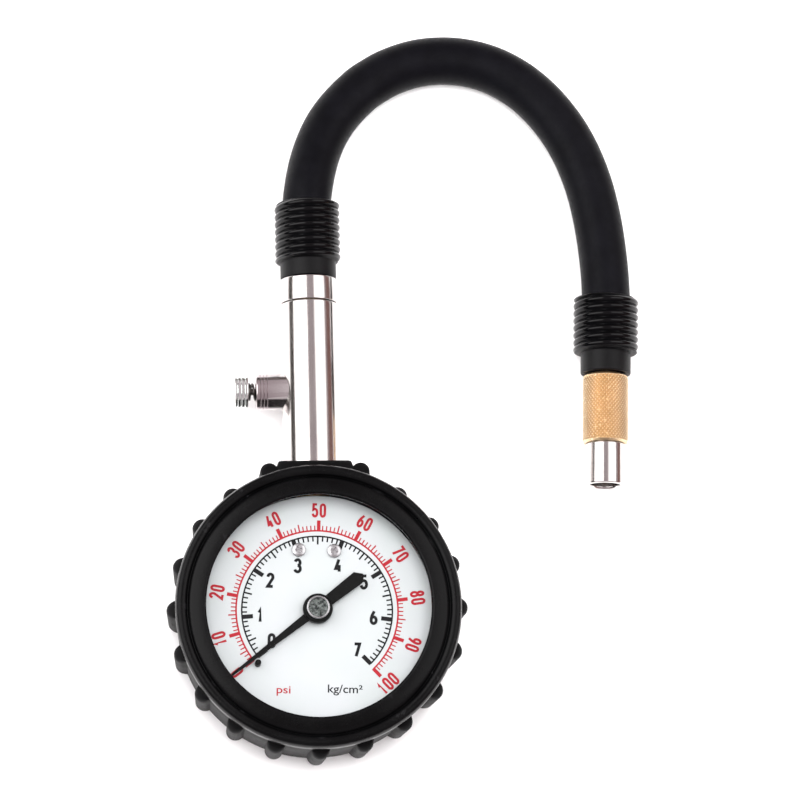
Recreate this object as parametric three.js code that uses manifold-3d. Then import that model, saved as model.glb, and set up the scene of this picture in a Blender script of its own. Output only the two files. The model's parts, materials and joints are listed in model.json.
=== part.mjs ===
// Hand-held tyre pressure gauge: dial head in a lugged rubber boot, stem with a push-button bleed
// valve, short rubber hose and push-on chuck. Millimetres. The origin is the centre of the boot's flat
// back: +Z is the way the dial faces, +Y runs along the stem and +X is to the right of the dial.
import * as THREE from "three";
import { mergeVertices } from "three/addons/utils/BufferGeometryUtils.js";
import Module from "manifold-3d";

const wasm = await Module();
wasm.setup();

// ---- driving dimensions ------------------------------------------------------------------------
const GAP = 0.3; // clearance between neighbouring pieces
const CASE_SEGMENTS = 36;
const ROD_SEGMENTS = 24; // stem, knob, chuck
const PIN_SEGMENTS = 10;

// boot
const BOOT_R = 37.9; // side wall at the front
const BOOT_REAR_R = 36.3; // side wall at the back, after the moulding draft
const BOOT_TOP = 34.0; // front of the lip
const BOOT_BACK = 2.5; // thickness of the closed back
const LIP_R = 29.7; // opening in the lip
const LUG_COUNT = 20;
const LUG_R = 40.3;
const LUG_REAR_R = 38.7;
const LUG_Z = [4, 28];
const LUG_FOOT_R = 35.9; // inside the wall, so that lug and wall join
const LUG_HALF = [3.1, 1.2]; // half width at the foot and outside, before the bevel
const LUG_BEVEL = 1.1;
const COLLAR_Y = 40.0; // flat end of the collar round the stem
const COLLAR_HALF = 9.8;
const COLLAR_SHOULDER = [12.6, 37.9];
const COLLAR_Z = [4, 28.5];

// case, window and dial
const CASE_R = 33.9;
const CASE_WALL = 0.9;
const CASE_BACK_Z = 2.8;
const CASE_TOP_Z = 30.3;
const CASE_CORNER = 2.3; // slope between the back and the side
const CASE_SCREWS = [
  [-4.5, 22.5],
  [4.5, 22.5],
];
const CASE_SCREW_R = 1.1;
const CASE_SCREW_HEAD_R = 2.1;
const CASE_SCREW_HEAD_Z = [1.7, 2.5];
const LEDGE_Z = [28.3, 29.2];
const LEDGE_R = 31.2;
const WINDOW_R = 32.6;
const WINDOW_Z = [30.3, 31.5];
const BEZEL_TOP_Z = 32.5;
const DIAL_Z = 24.0; // printed face
const DIAL_THICK = 0.8;
const DIAL_R = 31.0;
const DIAL_TURN = -2.2; // degrees, how far the dial sits off the stem's line
const DIAL_SCREW_PLACES = [
  [-5.2, 16.1],
  [4.2, 16.1],
];
const DIAL_SCREW_R = 1.0;
const DIAL_SCREW_HEAD_R = 1.85;

// pointer and movement
const POINTER_Z = [26.6, 27.2];
const HUB_Z = [26.0, 28.6];
const CAP_Z = [28.9, 29.9];
const CAP_R = 3.03;
const STOP_PIN_REACH = 21.4; // distance from the pointer's axis
const STOP_PIN_ANGLE = 221.6;
const STOP_PIN_R = 0.8;
const POINTER_ANGLE = 217.2; // at rest, against the stop pin
const POINTER_LENGTH = 29.0;
const POINTER_HALF = [1.25, 0.3]; // half width on the axis and at the tip
const TAIL_HALF = [1.4, 1.85]; // half width on the axis and where the point starts
const TAIL_REACH = [13.6, 15.3]; // start and end of the tail's blunt point
const HUB_R = 3.95;
const ARBOR_R = 0.6;
const GEAR_MODULE = 0.25;
const PINION_TEETH = 10;
const SECTOR_TEETH = 70; // a full wheel would have this many
const SECTOR_SWING = 37.7; // degrees for the whole scale
const SECTOR_PIVOT = [-4.0, 9.17];
const TAIL_LENGTH = 5.0;
const TAIL_ANGLE = 127;
const LINK_LENGTH = 8.5;
const LINK_ANGLE = 226.7;
const PIN_R = 0.5;
const PIN_HOLE_R = 0.85;
const PILLARS = [
  [7.5, 9.5],
  [-8.5, -2.5],
];
const LOWER_PLATE_Z = [11.5, 12.3];
const UPPER_PLATE_Z = [18.2, 19.0];
const GEAR_Z = [14.2, 15.4];
const TUBE_R = 22; // middle of the Bourdon tube's bend
const TUBE_ARC = [156, 443]; // degrees, from the free end round to the socket
const TUBE_HALF = [1.2, 4.0]; // half width across the bend, half height
const TUBE_WALL = 0.45;
const TUBE_STEPS = 14;

// stem, at its own height above the back
const STEM_Z = 15;
const STEM_R = 7.8;
const STEM_Y = [35.6, 85.3];
const SHANK_R = 4.5;
const PASSAGE_R = 1.8;
const SOCKET_R = 5.2; // bore at the stem's outer end that takes the hose's nipple
const FERRULE_Y = [85.6, 92.2];
const BLEED_Y = 61.4;
const BARREL_R = 5.0;
const BARREL_END = 14.9; // distances out from the stem's axis
const BARREL_BORE_R = 2.8;
const BARREL_FLOOR = [8.6, 10.2];
const NECK_HOLE_R = 1.2;
const NECK_R = 0.9;
const KNOB_R = 4.9;
const KNOB_SPAN = [16.95, 20.6];
const SPRING_WIRE_R = 0.3;

// hose and its sleeves
const HOSE_R = 6.6;
const HOSE_BORE_R = 4.0;
const SLEEVE_R = 8.9;
const SLEEVE_BORE_R = 6.9;
const RIB_DEPTH = 1.1;
const STEM_SLEEVE_Y = [92.5, 97.1, 113.7]; // cuff start, first rib, end
const STEM_CUFF_R = 7.55;
const HOSE_ROUTE = [
  [0, 88.4, 15],
  [0, 97, 15],
  [0, 106, 15],
  [0, 114, 15],
  [0.6, 118.6, 14.5],
  [1.4, 122.8, 13.5],
  [2.5, 127.1, 12.2],
  [3.9, 131.2, 11.1],
  [5.7, 135.3, 10],
  [8, 139.3, 8.9],
  [10.7, 142.9, 8.1],
  [13.6, 146.1, 7.4],
  [16.7, 149, 6.9],
  [20.1, 151.3, 6.65],
  [23.6, 153.3, 6.6],
  [31, 155.9, 6.6],
  [38.6, 156.8, 6.6],
  [46.1, 156.1, 6.6],
  [53.1, 153.9, 6.6],
  [59.4, 150.3, 6.6],
  [64.8, 145.7, 6.6],
  [69.4, 140.3, 6.6],
  [73.3, 134.2, 6.6],
  [76.4, 127.4, 6.6],
  [78.8, 119.8, 6.75],
  [80.4, 111.6, 7.2],
  [81.3, 104, 7.8],
  [81.8, 96.5, 8.5],
  [81.94, 88.8, 8.9],
  [81.66, 81.3, 8.9],
  [81.37, 73.8, 8.9],
];

// chuck: a group whose own +Y runs from the mouth towards the hose
const CHUCK_MOUTH = [79.95, 36.0, 8.9];
const CHUCK_LEAN = 2.17; // degrees, its hose end leans towards +X
const NOSE_R = 5.4;
const NOSE_LENGTH = 11.3;
const MOUTH_R = 4.1; // takes a Schrader valve stem
const KNURL_R = 6.25;
const KNURL_END = 30.7;
const CHUCK_SLEEVE = [31.0, 36.7, 52.3]; // cuff start, first rib, end
const CHUCK_CUFF_R = 6.85;

// ---- materials -----------------------------------------------------------------------------------
function finish(color, roughness, metalness) {
  return new THREE.MeshStandardMaterial({ color, roughness, metalness });
}
const RUBBER = finish(0x1c1c1d, 0.62, 0);
const HOSE_RUBBER = finish(0x17181a, 0.5, 0);
const CHROME = finish(0xcfcdca, 0.18, 1);
const BRASS = finish(0xcfa061, 0.4, 1);
const MOVEMENT_BRASS = finish(0xc9a552, 0.35, 1);
const STEEL = finish(0xb4b6b8, 0.35, 1);
const CASE_STEEL = finish(0x33363a, 0.5, 0.4);
const DIAL_WHITE = finish(0xf2f5f4, 0.5, 0);
const POINTER_BLACK = finish(0x111113, 0.45, 0);
const CLEAR = finish(0xf4f8f8, 0.05, 0);
const SEAL_RUBBER = finish(0x222222, 0.7, 0);

// ---- helpers -------------------------------------------------------------------------------------
const rad = THREE.MathUtils.degToRad;
const polar = (radius, degrees) => [
  radius * Math.cos(rad(degrees)),
  radius * Math.sin(rad(degrees)),
];

// A closed geometry as a solid for cutting and joining.
function solid(geometry) {
  const bare = geometry.clone();
  bare.deleteAttribute("normal");
  bare.deleteAttribute("uv");
  const merged = mergeVertices(bare, 1e-4);
  return new wasm.Manifold(
    new wasm.Mesh({
      numProp: 3,
      vertProperties: merged.getAttribute("position").array,
      triVerts: new Uint32Array(merged.getIndex().array),
    }),
  );
}

function geometryOf(body) {
  const { vertProperties, triVerts } = body.getMesh();
  const geometry = new THREE.BufferGeometry();
  geometry.setAttribute("position", new THREE.BufferAttribute(vertProperties, 3));
  geometry.setIndex(new THREE.BufferAttribute(triVerts, 1));
  geometry.computeVertexNormals();
  return geometry;
}

// A profile of [radius, height] points turned about an axis; a ring's profile closes on itself.
function turned(profile, segments, axis = "z") {
  const closed = profile[0][0] > 0 ? [...profile, profile[0]] : profile;
  const points = closed.map(([r, h]) => new THREE.Vector2(r, h));
  const geometry = new THREE.LatheGeometry(points, segments);
  if (axis === "z") geometry.rotateX(Math.PI / 2);
  if (axis === "-x") geometry.rotateZ(Math.PI / 2);
  return geometry;
}

const ring = (inner, outer, [low, high], segments, axis) =>
  turned([[inner, low], [outer, low], [outer, high], [inner, high]], segments, axis);

const rod = (radius, [low, high], segments, axis) =>
  turned([[0, low], [radius, low], [radius, high], [0, high]], segments, axis);

// A flat outline in X and Y raised between two heights.
function plate(shape, [low, high], curveSegments = 8) {
  const geometry = new THREE.ExtrudeGeometry(shape, {
    depth: high - low,
    bevelEnabled: false,
    curveSegments,
  });
  return geometry.translate(0, 0, low);
}

const outline = (points) => new THREE.Shape(points.map(([x, y]) => new THREE.Vector2(x, y)));

function circleShape(radius, [x, y] = [0, 0]) {
  const shape = new THREE.Shape();
  shape.absarc(x, y, radius, 0, 2 * Math.PI, false);
  return shape;
}

// Part of a ring between two angles in degrees.
function arcBand(inner, outer, [from, to]) {
  const shape = new THREE.Shape();
  shape.absarc(0, 0, outer, rad(from), rad(to), false);
  shape.absarc(0, 0, inner, rad(to), rad(from), true);
  return shape;
}

// A bar with round ends between two points.
function bar([x0, y0], [x1, y1], halfWidth) {
  const along = Math.atan2(y1 - y0, x1 - x0);
  const shape = new THREE.Shape();
  shape.absarc(x0, y0, halfWidth, along + Math.PI / 2, along + 1.5 * Math.PI, false);
  shape.absarc(x1, y1, halfWidth, along - Math.PI / 2, along + Math.PI / 2, false);
  return shape;
}

function box([x0, x1], [y0, y1], [z0, z1]) {
  const geometry = new THREE.BoxGeometry(x1 - x0, y1 - y0, z1 - z0);
  return geometry.translate((x0 + x1) / 2, (y0 + y1) / 2, (z0 + z1) / 2);
}

const pinAt = ([x, y], radius, span, segments = PIN_SEGMENTS) =>
  rod(radius, span, segments).translate(x, y, 0);

const onStem = (geometry) => geometry.translate(0, 0, STEM_Z);
const onBleed = (geometry) => geometry.translate(0, BLEED_Y, STEM_Z);

// A round wire wound along +Y: used for the two compression springs.
class Helix extends THREE.Curve {
  constructor(radius, [start, end], turns) {
    super();
    Object.assign(this, { radius, start, end, turns });
  }
  getPoint(t, target = new THREE.Vector3()) {
    const angle = 2 * Math.PI * this.turns * t;
    const along = this.start + (this.end - this.start) * t;
    return target.set(this.radius * Math.cos(angle), along, this.radius * Math.sin(angle));
  }
}

function wireSpring(radius, wire, span, turns) {
  const section = new THREE.Shape();
  section.absarc(0, 0, wire, 0, 2 * Math.PI, false);
  return new THREE.ExtrudeGeometry(section, {
    steps: turns * 9,
    curveSegments: 3,
    extrudePath: new Helix(radius, span, turns),
  });
}

const root = new THREE.Group();
const chuck = new THREE.Group();
chuck.position.set(...CHUCK_MOUTH);
chuck.rotation.z = -rad(CHUCK_LEAN);
root.add(chuck);

function add(name, body, material, parent = root) {
  const mesh = new THREE.Mesh(body.isBufferGeometry ? body : geometryOf(body), material);
  mesh.name = name;
  parent.add(mesh);
}

// ---- boot ----------------------------------------------------------------------------------------
function boot() {
  const inner = CASE_R + GAP;
  const shell = turned(
    [
      [0, 0],
      [34.4, 0],
      [BOOT_REAR_R, 2],
      [BOOT_R, BOOT_TOP - 2.2],
      [BOOT_R - 1.0, BOOT_TOP - 0.6],
      [35.4, BOOT_TOP - 0.8],
      [34.7, BOOT_TOP - 1.7],
      [34.1, BOOT_TOP - 0.8],
      [LIP_R + 0.5, BOOT_TOP],
      [LIP_R, BOOT_TOP - 0.4],
      [LIP_R, BEZEL_TOP_Z + GAP],
      [inner - 0.9, BEZEL_TOP_Z + GAP],
      [inner, BEZEL_TOP_Z - 0.6],
      [inner, BOOT_BACK],
      [0, BOOT_BACK],
    ],
    2 * LUG_COUNT,
  );
  let body = solid(shell);
  for (let i = 0; i < LUG_COUNT; i += 1) {
    const angle = (360 / LUG_COUNT) * i;
    if (angle !== 90) body = body.add(lug(angle));
  }
  body = body.add(collar());
  const stemHole = onStem(rod(STEM_R + GAP, [28, 46], 32, "y"));
  body = body.subtract(solid(stemHole));
  for (const [x, y] of CASE_SCREWS) {
    const pocket = pinAt([x, y], CASE_SCREW_HEAD_R + 0.5, [CASE_SCREW_HEAD_Z[0] - GAP, 3], 16);
    body = body.subtract(solid(pocket));
  }
  return body;
}

// One grip lug: wide at the wall, narrower outside, leaning in towards the back with the wall.
function lug(angle) {
  const [foot, top] = LUG_HALF;
  const shape = outline([
    [LUG_FOOT_R, -foot],
    [LUG_R - LUG_BEVEL, -top],
    [LUG_R - LUG_BEVEL, top],
    [LUG_FOOT_R, foot],
  ]);
  const height = LUG_Z[1] - LUG_Z[0];
  const geometry = new THREE.ExtrudeGeometry(shape, {
    depth: height - 2 * LUG_BEVEL,
    bevelThickness: LUG_BEVEL,
    bevelSize: LUG_BEVEL,
    bevelSegments: 1,
  });
  geometry.translate(0, 0, LUG_Z[0] + LUG_BEVEL);
  const place = geometry.getAttribute("position");
  const middle = (LUG_FOOT_R + LUG_R) / 2 - 1;
  for (let i = 0; i < place.count; i += 1) {
    const down = (LUG_Z[1] - place.getZ(i)) / height;
    const out = place.getX(i) > middle ? 1 : 0;
    place.setX(i, place.getX(i) - out * down * (LUG_R - LUG_REAR_R));
  }
  return solid(geometry.rotateZ(rad(angle)));
}

// The thick pad that closes round the stem, with a step down to the lugs on either side.
function collar() {
  const [half, shoulder] = COLLAR_SHOULDER;
  const corner = 0.8;
  const shape = outline([
    [-half, CASE_R + 1.1],
    [half, CASE_R + 1.1],
    [half, shoulder],
    [COLLAR_HALF, COLLAR_Y - corner],
    [COLLAR_HALF - corner, COLLAR_Y],
    [-COLLAR_HALF + corner, COLLAR_Y],
    [-COLLAR_HALF, COLLAR_Y - corner],
    [-half, shoulder],
  ]);
  return solid(plate(shape, COLLAR_Z));
}

// ---- case, window and dial -----------------------------------------------------------------------
function caseCup() {
  const inside = CASE_R - CASE_WALL;
  const cup = turned(
    [
      [0, CASE_BACK_Z],
      [CASE_R - CASE_CORNER, CASE_BACK_Z],
      [CASE_R, CASE_BACK_Z + CASE_CORNER],
      [CASE_R, CASE_TOP_Z],
      [inside, CASE_TOP_Z],
      [inside, LEDGE_Z[1]],
      [LEDGE_R, LEDGE_Z[1]],
      [LEDGE_R, LEDGE_Z[0]],
      [inside, LEDGE_Z[0] - 0.6],
      [inside, CASE_BACK_Z + CASE_CORNER + 0.4],
      [inside - 1.8, CASE_BACK_Z + CASE_WALL],
      [0, CASE_BACK_Z + CASE_WALL],
    ],
    CASE_SEGMENTS,
  );
  let body = solid(cup).subtract(solid(onStem(rod(SHANK_R + GAP, [28, 38], 20, "y"))));
  for (const place of CASE_SCREWS) {
    body = body.subtract(solid(pinAt(place, CASE_SCREW_R + 0.4, [2, 5])));
  }
  return body;
}

function bezel() {
  const inside = CASE_R - CASE_WALL;
  return turned(
    [
      [inside, CASE_TOP_Z + GAP],
      [CASE_R, CASE_TOP_Z + GAP],
      [CASE_R, BEZEL_TOP_Z - 1.0],
      [CASE_R - 0.9, BEZEL_TOP_Z],
      [LIP_R + 0.7, BEZEL_TOP_Z],
      [LIP_R + 0.7, WINDOW_Z[1] + GAP],
      [inside, WINDOW_Z[1] + GAP],
    ],
    CASE_SEGMENTS,
  );
}

function caseScrew(place) {
  const head = solid(pinAt(place, CASE_SCREW_HEAD_R, CASE_SCREW_HEAD_Z, 16));
  const shank = solid(pinAt(place, CASE_SCREW_R, [CASE_SCREW_HEAD_Z[1] - 0.2, 8.6]));
  return head.add(shank);
}

const dialPoint = ([x, y]) => {
  const turn = rad(DIAL_TURN);
  return [x * Math.cos(turn) - y * Math.sin(turn), x * Math.sin(turn) + y * Math.cos(turn)];
};
const DIAL_SCREWS = DIAL_SCREW_PLACES.map(dialPoint);
const STOP_PIN = polar(STOP_PIN_REACH, STOP_PIN_ANGLE);

function dialPlate() {
  const span = [DIAL_Z - DIAL_THICK - 1, DIAL_Z + 1];
  let body = solid(rod(DIAL_R, [DIAL_Z - DIAL_THICK, DIAL_Z], CASE_SEGMENTS));
  body = body.subtract(solid(rod(1.6, span, PIN_SEGMENTS)));
  body = body.subtract(solid(pinAt(STOP_PIN, STOP_PIN_R + GAP, span)));
  for (const place of DIAL_SCREWS) {
    body = body.subtract(solid(pinAt(place, DIAL_SCREW_R + 0.35, span)));
  }
  return body;
}

function dialScrew(place) {
  const head = solid(pinAt(place, DIAL_SCREW_HEAD_R, [DIAL_Z + GAP, DIAL_Z + 1.2], 16));
  const shank = solid(pinAt(place, DIAL_SCREW_R, [20.3, DIAL_Z + 0.6]));
  return head.add(shank);
}

// ---- pointer -------------------------------------------------------------------------------------
function pointer() {
  const shape = outline([
    [0, -POINTER_HALF[0]],
    [POINTER_LENGTH, -POINTER_HALF[1]],
    [POINTER_LENGTH, POINTER_HALF[1]],
    [0, POINTER_HALF[0]],
    [0, TAIL_HALF[0]],
    [-TAIL_REACH[0], TAIL_HALF[1]],
    [-TAIL_REACH[1], 0],
    [-TAIL_REACH[0], -TAIL_HALF[1]],
    [0, -TAIL_HALF[0]],
  ]);
  const needle = solid(plate(shape, POINTER_Z).rotateZ(rad(POINTER_ANGLE)));
  const hub = solid(rod(HUB_R, HUB_Z, 24));
  const bore = solid(rod(ARBOR_R + GAP, [25, 29], 12));
  return needle.add(hub).subtract(bore);
}

// Teeth on a wheel of the given count; only those between two tooth numbers are cut.
function toothed(teeth, [first, last], turn, halfTooth) {
  const pitch = (GEAR_MODULE * teeth) / 2;
  const foot = pitch - 1.25 * GEAR_MODULE;
  const tip = pitch + GEAR_MODULE;
  const step = 360 / teeth;
  const points = [];
  for (let i = first; i <= last; i += 1) {
    const middle = turn + i * step;
    const half = (halfTooth * step) / 2;
    points.push(
      polar(foot, middle - 1.25 * half),
      polar(pitch, middle - half),
      polar(tip, middle - 0.45 * half),
      polar(tip, middle + 0.45 * half),
      polar(pitch, middle + half),
      polar(foot, middle + 1.25 * half),
    );
  }
  return points;
}

function pinionArbor() {
  const gear = plate(outline(toothed(PINION_TEETH, [0, PINION_TEETH - 1], PINION_PHASE, 0.42)), [
    GEAR_Z[0] - 0.3,
    GEAR_Z[1] + 0.3,
  ]);
  return solid(gear).add(solid(rod(ARBOR_R, [LOWER_PLATE_Z[0] + 0.1, HUB_Z[1] - 0.2], 12)));
}

// ---- sector, link and Bourdon tube ---------------------------------------------------------------
const [PIVOT_X, PIVOT_Y] = SECTOR_PIVOT;
const MESH_ANGLE = THREE.MathUtils.radToDeg(Math.atan2(-PIVOT_Y, -PIVOT_X));
const PINION_PHASE = MESH_ANGLE + 180; // a pinion tooth points at the sector's pivot
const tailEnd = polar(TAIL_LENGTH, TAIL_ANGLE);
const TAIL_PIN = [PIVOT_X + tailEnd[0], PIVOT_Y + tailEnd[1]];
const linkEnd = polar(LINK_LENGTH, LINK_ANGLE);
const TIP_PIN = [TAIL_PIN[0] + linkEnd[0], TAIL_PIN[1] + linkEnd[1]];

function sectorGear() {
  const step = 360 / SECTOR_TEETH;
  const count = Math.ceil(SECTOR_SWING / step) + 3;
  // half a step of turn puts a gap, not a tooth, on the pinion's tooth
  const teeth = toothed(SECTOR_TEETH, [-count + 1, 1], MESH_ANGLE + step / 2, 0.42);
  const shape = outline([polar(1.2, MESH_ANGLE - 110), ...teeth, polar(1.2, MESH_ANGLE + 60)]);
  const web = plate(shape, GEAR_Z).translate(PIVOT_X, PIVOT_Y, 0);
  const arbor = pinAt(SECTOR_PIVOT, ARBOR_R, [LOWER_PLATE_Z[0] + 0.1, UPPER_PLATE_Z[1] - 0.1]);
  return solid(web)
    .add(solid(pinAt(SECTOR_PIVOT, 1.6, GEAR_Z, 16)))
    .add(solid(plate(bar(SECTOR_PIVOT, TAIL_PIN, 1.1), GEAR_Z)))
    .add(solid(arbor))
    .add(solid(pinAt(TAIL_PIN, PIN_R, [GEAR_Z[0] + 0.2, 17.0])));
}

function linkRod() {
  const shape = bar(TAIL_PIN, TIP_PIN, 1.45);
  shape.holes.push(circleShape(PIN_HOLE_R, TAIL_PIN), circleShape(PIN_HOLE_R, TIP_PIN));
  return plate(shape, [GEAR_Z[1] + GAP, GEAR_Z[1] + 1.1], 6);
}

function bourdonTube() {
  const [across, half] = TUBE_HALF;
  const body = plate(
    arcBand(TUBE_R - across, TUBE_R + across, TUBE_ARC),
    [STEM_Z - half, STEM_Z + half],
    TUBE_STEPS,
  );
  const hollow = plate(
    arcBand(TUBE_R - across + TUBE_WALL, TUBE_R + across - TUBE_WALL, [TUBE_ARC[0] - 2, TUBE_ARC[1] + 2]),
    [STEM_Z - half + TUBE_WALL, STEM_Z + half - TUBE_WALL],
    TUBE_STEPS,
  );
  return solid(body).subtract(solid(hollow));
}

function tubeTip() {
  const [across, half] = TUBE_HALF;
  const cap = plate(
    arcBand(TUBE_R - across - 0.4, TUBE_R + across + 0.4, [149, TUBE_ARC[0] - 0.9]),
    [STEM_Z - half - 0.4, STEM_Z + half + 0.4],
  );
  const ear = plate(bar(polar(TUBE_R, 152), TIP_PIN, 1.1), GEAR_Z);
  return solid(cap)
    .add(solid(ear))
    .add(solid(pinAt(TIP_PIN, PIN_R, [GEAR_Z[0] + 0.2, 17.0])));
}

// A flat spiral ribbon round the arbor.
function hairspring() {
  const turns = 3;
  const stepsPerTurn = 15;
  const [start, end, thick] = [1.1, 4.6, 0.16];
  const side = (offset) =>
    Array.from({ length: turns * stepsPerTurn + 1 }, (_, i) => {
      const part = i / (turns * stepsPerTurn);
      return polar(start + (end - start) * part + offset, 360 * turns * part);
    });
  return plate(outline([...side(thick / 2), ...side(-thick / 2).reverse()]), [16.4, 17.2]);
}

function movementPlate(span, withPillarHoles) {
  const shape = outline([
    [-11, -4],
    [-9.5, -5.5],
    [8.5, -5.5],
    [10, -4],
    [10, 11.1],
    [8.5, 12.6],
    [-9.5, 12.6],
    [-11, 11.1],
  ]);
  const arborHoles = [[0, 0], SECTOR_PIVOT];
  for (const place of [...arborHoles, ...withPillarHoles]) {
    shape.holes.push(circleShape(ARBOR_R + GAP, place));
  }
  return plate(shape, span, 4);
}

function plateScrew(place) {
  const head = solid(pinAt(place, 1.5, [UPPER_PLATE_Z[1] + GAP, UPPER_PLATE_Z[1] + 1.1], 14));
  const shank = solid(pinAt(place, ARBOR_R, [9.6, UPPER_PLATE_Z[1] + 0.8]));
  return head.add(shank);
}

// Block that carries the movement, the dial and the tube's root, with the threaded shank.
function socketBlock() {
  const tongue = box([-10.5, 9.5], [-5.2, 18.5], [9.0, LOWER_PLATE_Z[0] - GAP]);
  const lower = box([-7, 7], [17.5, 27], [9.0, DIAL_Z - DIAL_THICK - GAP]);
  const shelf = box([-7.5, 7.5], [13.8, 18], [19.9, DIAL_Z - DIAL_THICK - GAP]);
  let body = solid(lower)
    .add(solid(tongue))
    .add(solid(shelf))
    .add(solid(onStem(rod(SHANK_R, [26, 44], 16, "y"))));
  for (const place of CASE_SCREWS) {
    const foot = solid(pinAt(place, 2.5, [CASE_BACK_Z + CASE_WALL + GAP, 10], 14));
    body = body.add(foot).subtract(solid(pinAt(place, CASE_SCREW_R + GAP, [3, 9.2])));
  }
  for (const place of DIAL_SCREWS) {
    body = body.subtract(solid(pinAt(place, DIAL_SCREW_R + GAP, [18, 24])));
  }
  for (const place of PILLARS) {
    body = body.subtract(solid(pinAt(place, ARBOR_R + GAP, [9.3, 12])));
  }
  const pocket = plate(
    arcBand(TUBE_R - TUBE_HALF[0] - GAP, TUBE_R + TUBE_HALF[0] + GAP, [60, 89]),
    [STEM_Z - TUBE_HALF[1] - GAP, STEM_Z + TUBE_HALF[1] + GAP],
  );
  const passage = onStem(rod(1.6, [21, 46], 12, "y"));
  return body.subtract(solid(pocket)).subtract(solid(passage));
}

// ---- stem and bleed valve ------------------------------------------------------------------------
function stemBody() {
  const tube = onStem(
    turned(
      [
        [SHANK_R + GAP, STEM_Y[0]],
        [STEM_R, STEM_Y[0]],
        [STEM_R, STEM_Y[1]],
        [SOCKET_R, STEM_Y[1]],
        [SOCKET_R, 80],
        [PASSAGE_R, 80],
        [PASSAGE_R, 44.6],
        [SHANK_R + GAP, 44.6],
      ],
      ROD_SEGMENTS,
      "y",
    ),
  );
  const port = onBleed(rod(3.3, [-0.9, 9], 18, "-x"));
  return solid(tube).subtract(solid(port));
}

function bleedBarrel() {
  const head = solid(onBleed(ring(BARREL_BORE_R, BARREL_R, [5, BARREL_END], 24, "-x")));
  const neck = solid(onBleed(ring(NECK_HOLE_R, 3.0, [3.2, BARREL_FLOOR[1]], 24, "-x")));
  const floor = solid(onBleed(ring(NECK_HOLE_R, BARREL_R - 0.4, BARREL_FLOOR, 24, "-x")));
  const saddle = solid(onStem(rod(STEM_R + GAP, [50, 72], 32, "y")));
  return head.add(floor).subtract(saddle).add(neck);
}

function bleedPlunger() {
  return onBleed(
    turned(
      [
        [0, 1.4],
        [1.9, 1.4],
        [1.9, 2.2],
        [NECK_R, 2.2],
        [NECK_R, KNOB_SPAN[1] - 1.0],
        [0, KNOB_SPAN[1] - 1.0],
      ],
      16,
      "-x",
    ),
  );
}

function bleedKnob() {
  return onBleed(
    turned(
      [
        [NECK_HOLE_R, KNOB_SPAN[0]],
        [KNOB_R, KNOB_SPAN[0]],
        [KNOB_R, KNOB_SPAN[1]],
        [0, KNOB_SPAN[1]],
        [0, KNOB_SPAN[1] - 0.7],
        [NECK_HOLE_R, KNOB_SPAN[1] - 0.7],
        [NECK_HOLE_R, KNOB_SPAN[0]],
      ],
      24,
      "-x",
    ),
  );
}

function bleedSpring() {
  const span = [BARREL_FLOOR[1] + 0.7, KNOB_SPAN[0] - 0.7];
  const spring = wireSpring(2.15, SPRING_WIRE_R, span, 4);
  return onBleed(spring.rotateZ(Math.PI / 2));
}

// Barbed tail that the hose is pushed on to.
function barbs([start, end]) {
  const pitch = (end - start) / 3;
  const points = [[3.2, start]];
  for (let i = 0; i < 3; i += 1) {
    points.push([3.5, start + (i + 0.3) * pitch], [3.0, start + (i + 0.9) * pitch]);
  }
  points.push([2.6, end]);
  return points;
}

function stemNipple() {
  const profile = [
    [1.5, 80.3],
    [4.9, 80.3],
    [4.9, FERRULE_Y[0] + 1.4],
    [3.2, FERRULE_Y[0] + 1.4],
    ...barbs([90, 105]),
    [1.5, 105],
  ];
  return onStem(turned(profile, 14, "y"));
}

function hoseFerrule() {
  const profile = [
    [SOCKET_R, FERRULE_Y[0]],
    [STEM_R, FERRULE_Y[0]],
    [STEM_R, FERRULE_Y[1]],
    [SLEEVE_BORE_R, FERRULE_Y[1]],
    [SLEEVE_BORE_R, FERRULE_Y[0] + 1.5],
    [SOCKET_R, FERRULE_Y[0] + 1.5],
  ];
  return onStem(turned(profile, ROD_SEGMENTS, "y"));
}

// ---- hose and sleeves ----------------------------------------------------------------------------
function ribs([start, end]) {
  const count = Math.round((end - start) / 2.1);
  const pitch = (end - start) / count;
  const points = [];
  for (let i = 0; i < count; i += 1) {
    points.push([SLEEVE_R, start + (i + 0.5) * pitch]);
    if (i < count - 1) points.push([SLEEVE_R - RIB_DEPTH, start + (i + 1) * pitch]);
  }
  return points;
}

function sleeve([cuff, rib, end], cuffRadius, cuffBore) {
  const bore =
    cuffBore < SLEEVE_BORE_R
      ? [
          [SLEEVE_BORE_R, rib + GAP],
          [cuffBore, rib + GAP],
        ]
      : [];
  const profile = [
    [cuffBore, cuff],
    [cuffRadius, cuff],
    [cuffRadius, rib],
    ...ribs([rib, end]),
    [SLEEVE_R - RIB_DEPTH, end],
    [SLEEVE_BORE_R, end],
    ...bore,
  ];
  return turned(profile, 16, "y");
}

function hose() {
  const route = new THREE.CatmullRomCurve3(
    HOSE_ROUTE.map((place) => new THREE.Vector3(...place)),
    false,
    "centripetal",
  );
  const section = new THREE.Shape();
  section.absarc(0, 0, HOSE_R, 0, 2 * Math.PI, false);
  const bore = new THREE.Path();
  bore.absarc(0, 0, HOSE_BORE_R, 0, 2 * Math.PI, true);
  section.holes.push(bore);
  return new THREE.ExtrudeGeometry(section, {
    steps: 28,
    curveSegments: 5,
    extrudePath: route,
  });
}

// ---- chuck ---------------------------------------------------------------------------------------
function chuckNose() {
  const profile = [
    [MOUTH_R, 0],
    [NOSE_R, 0],
    [NOSE_R, NOSE_LENGTH],
    [4.2, NOSE_LENGTH],
    [4.2, 17],
    [3, 17],
    [3, 10],
    [1.4, 10],
    [1.4, 8.9],
    [MOUTH_R, 8.9],
  ];
  return turned(profile, ROD_SEGMENTS, "y");
}

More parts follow.
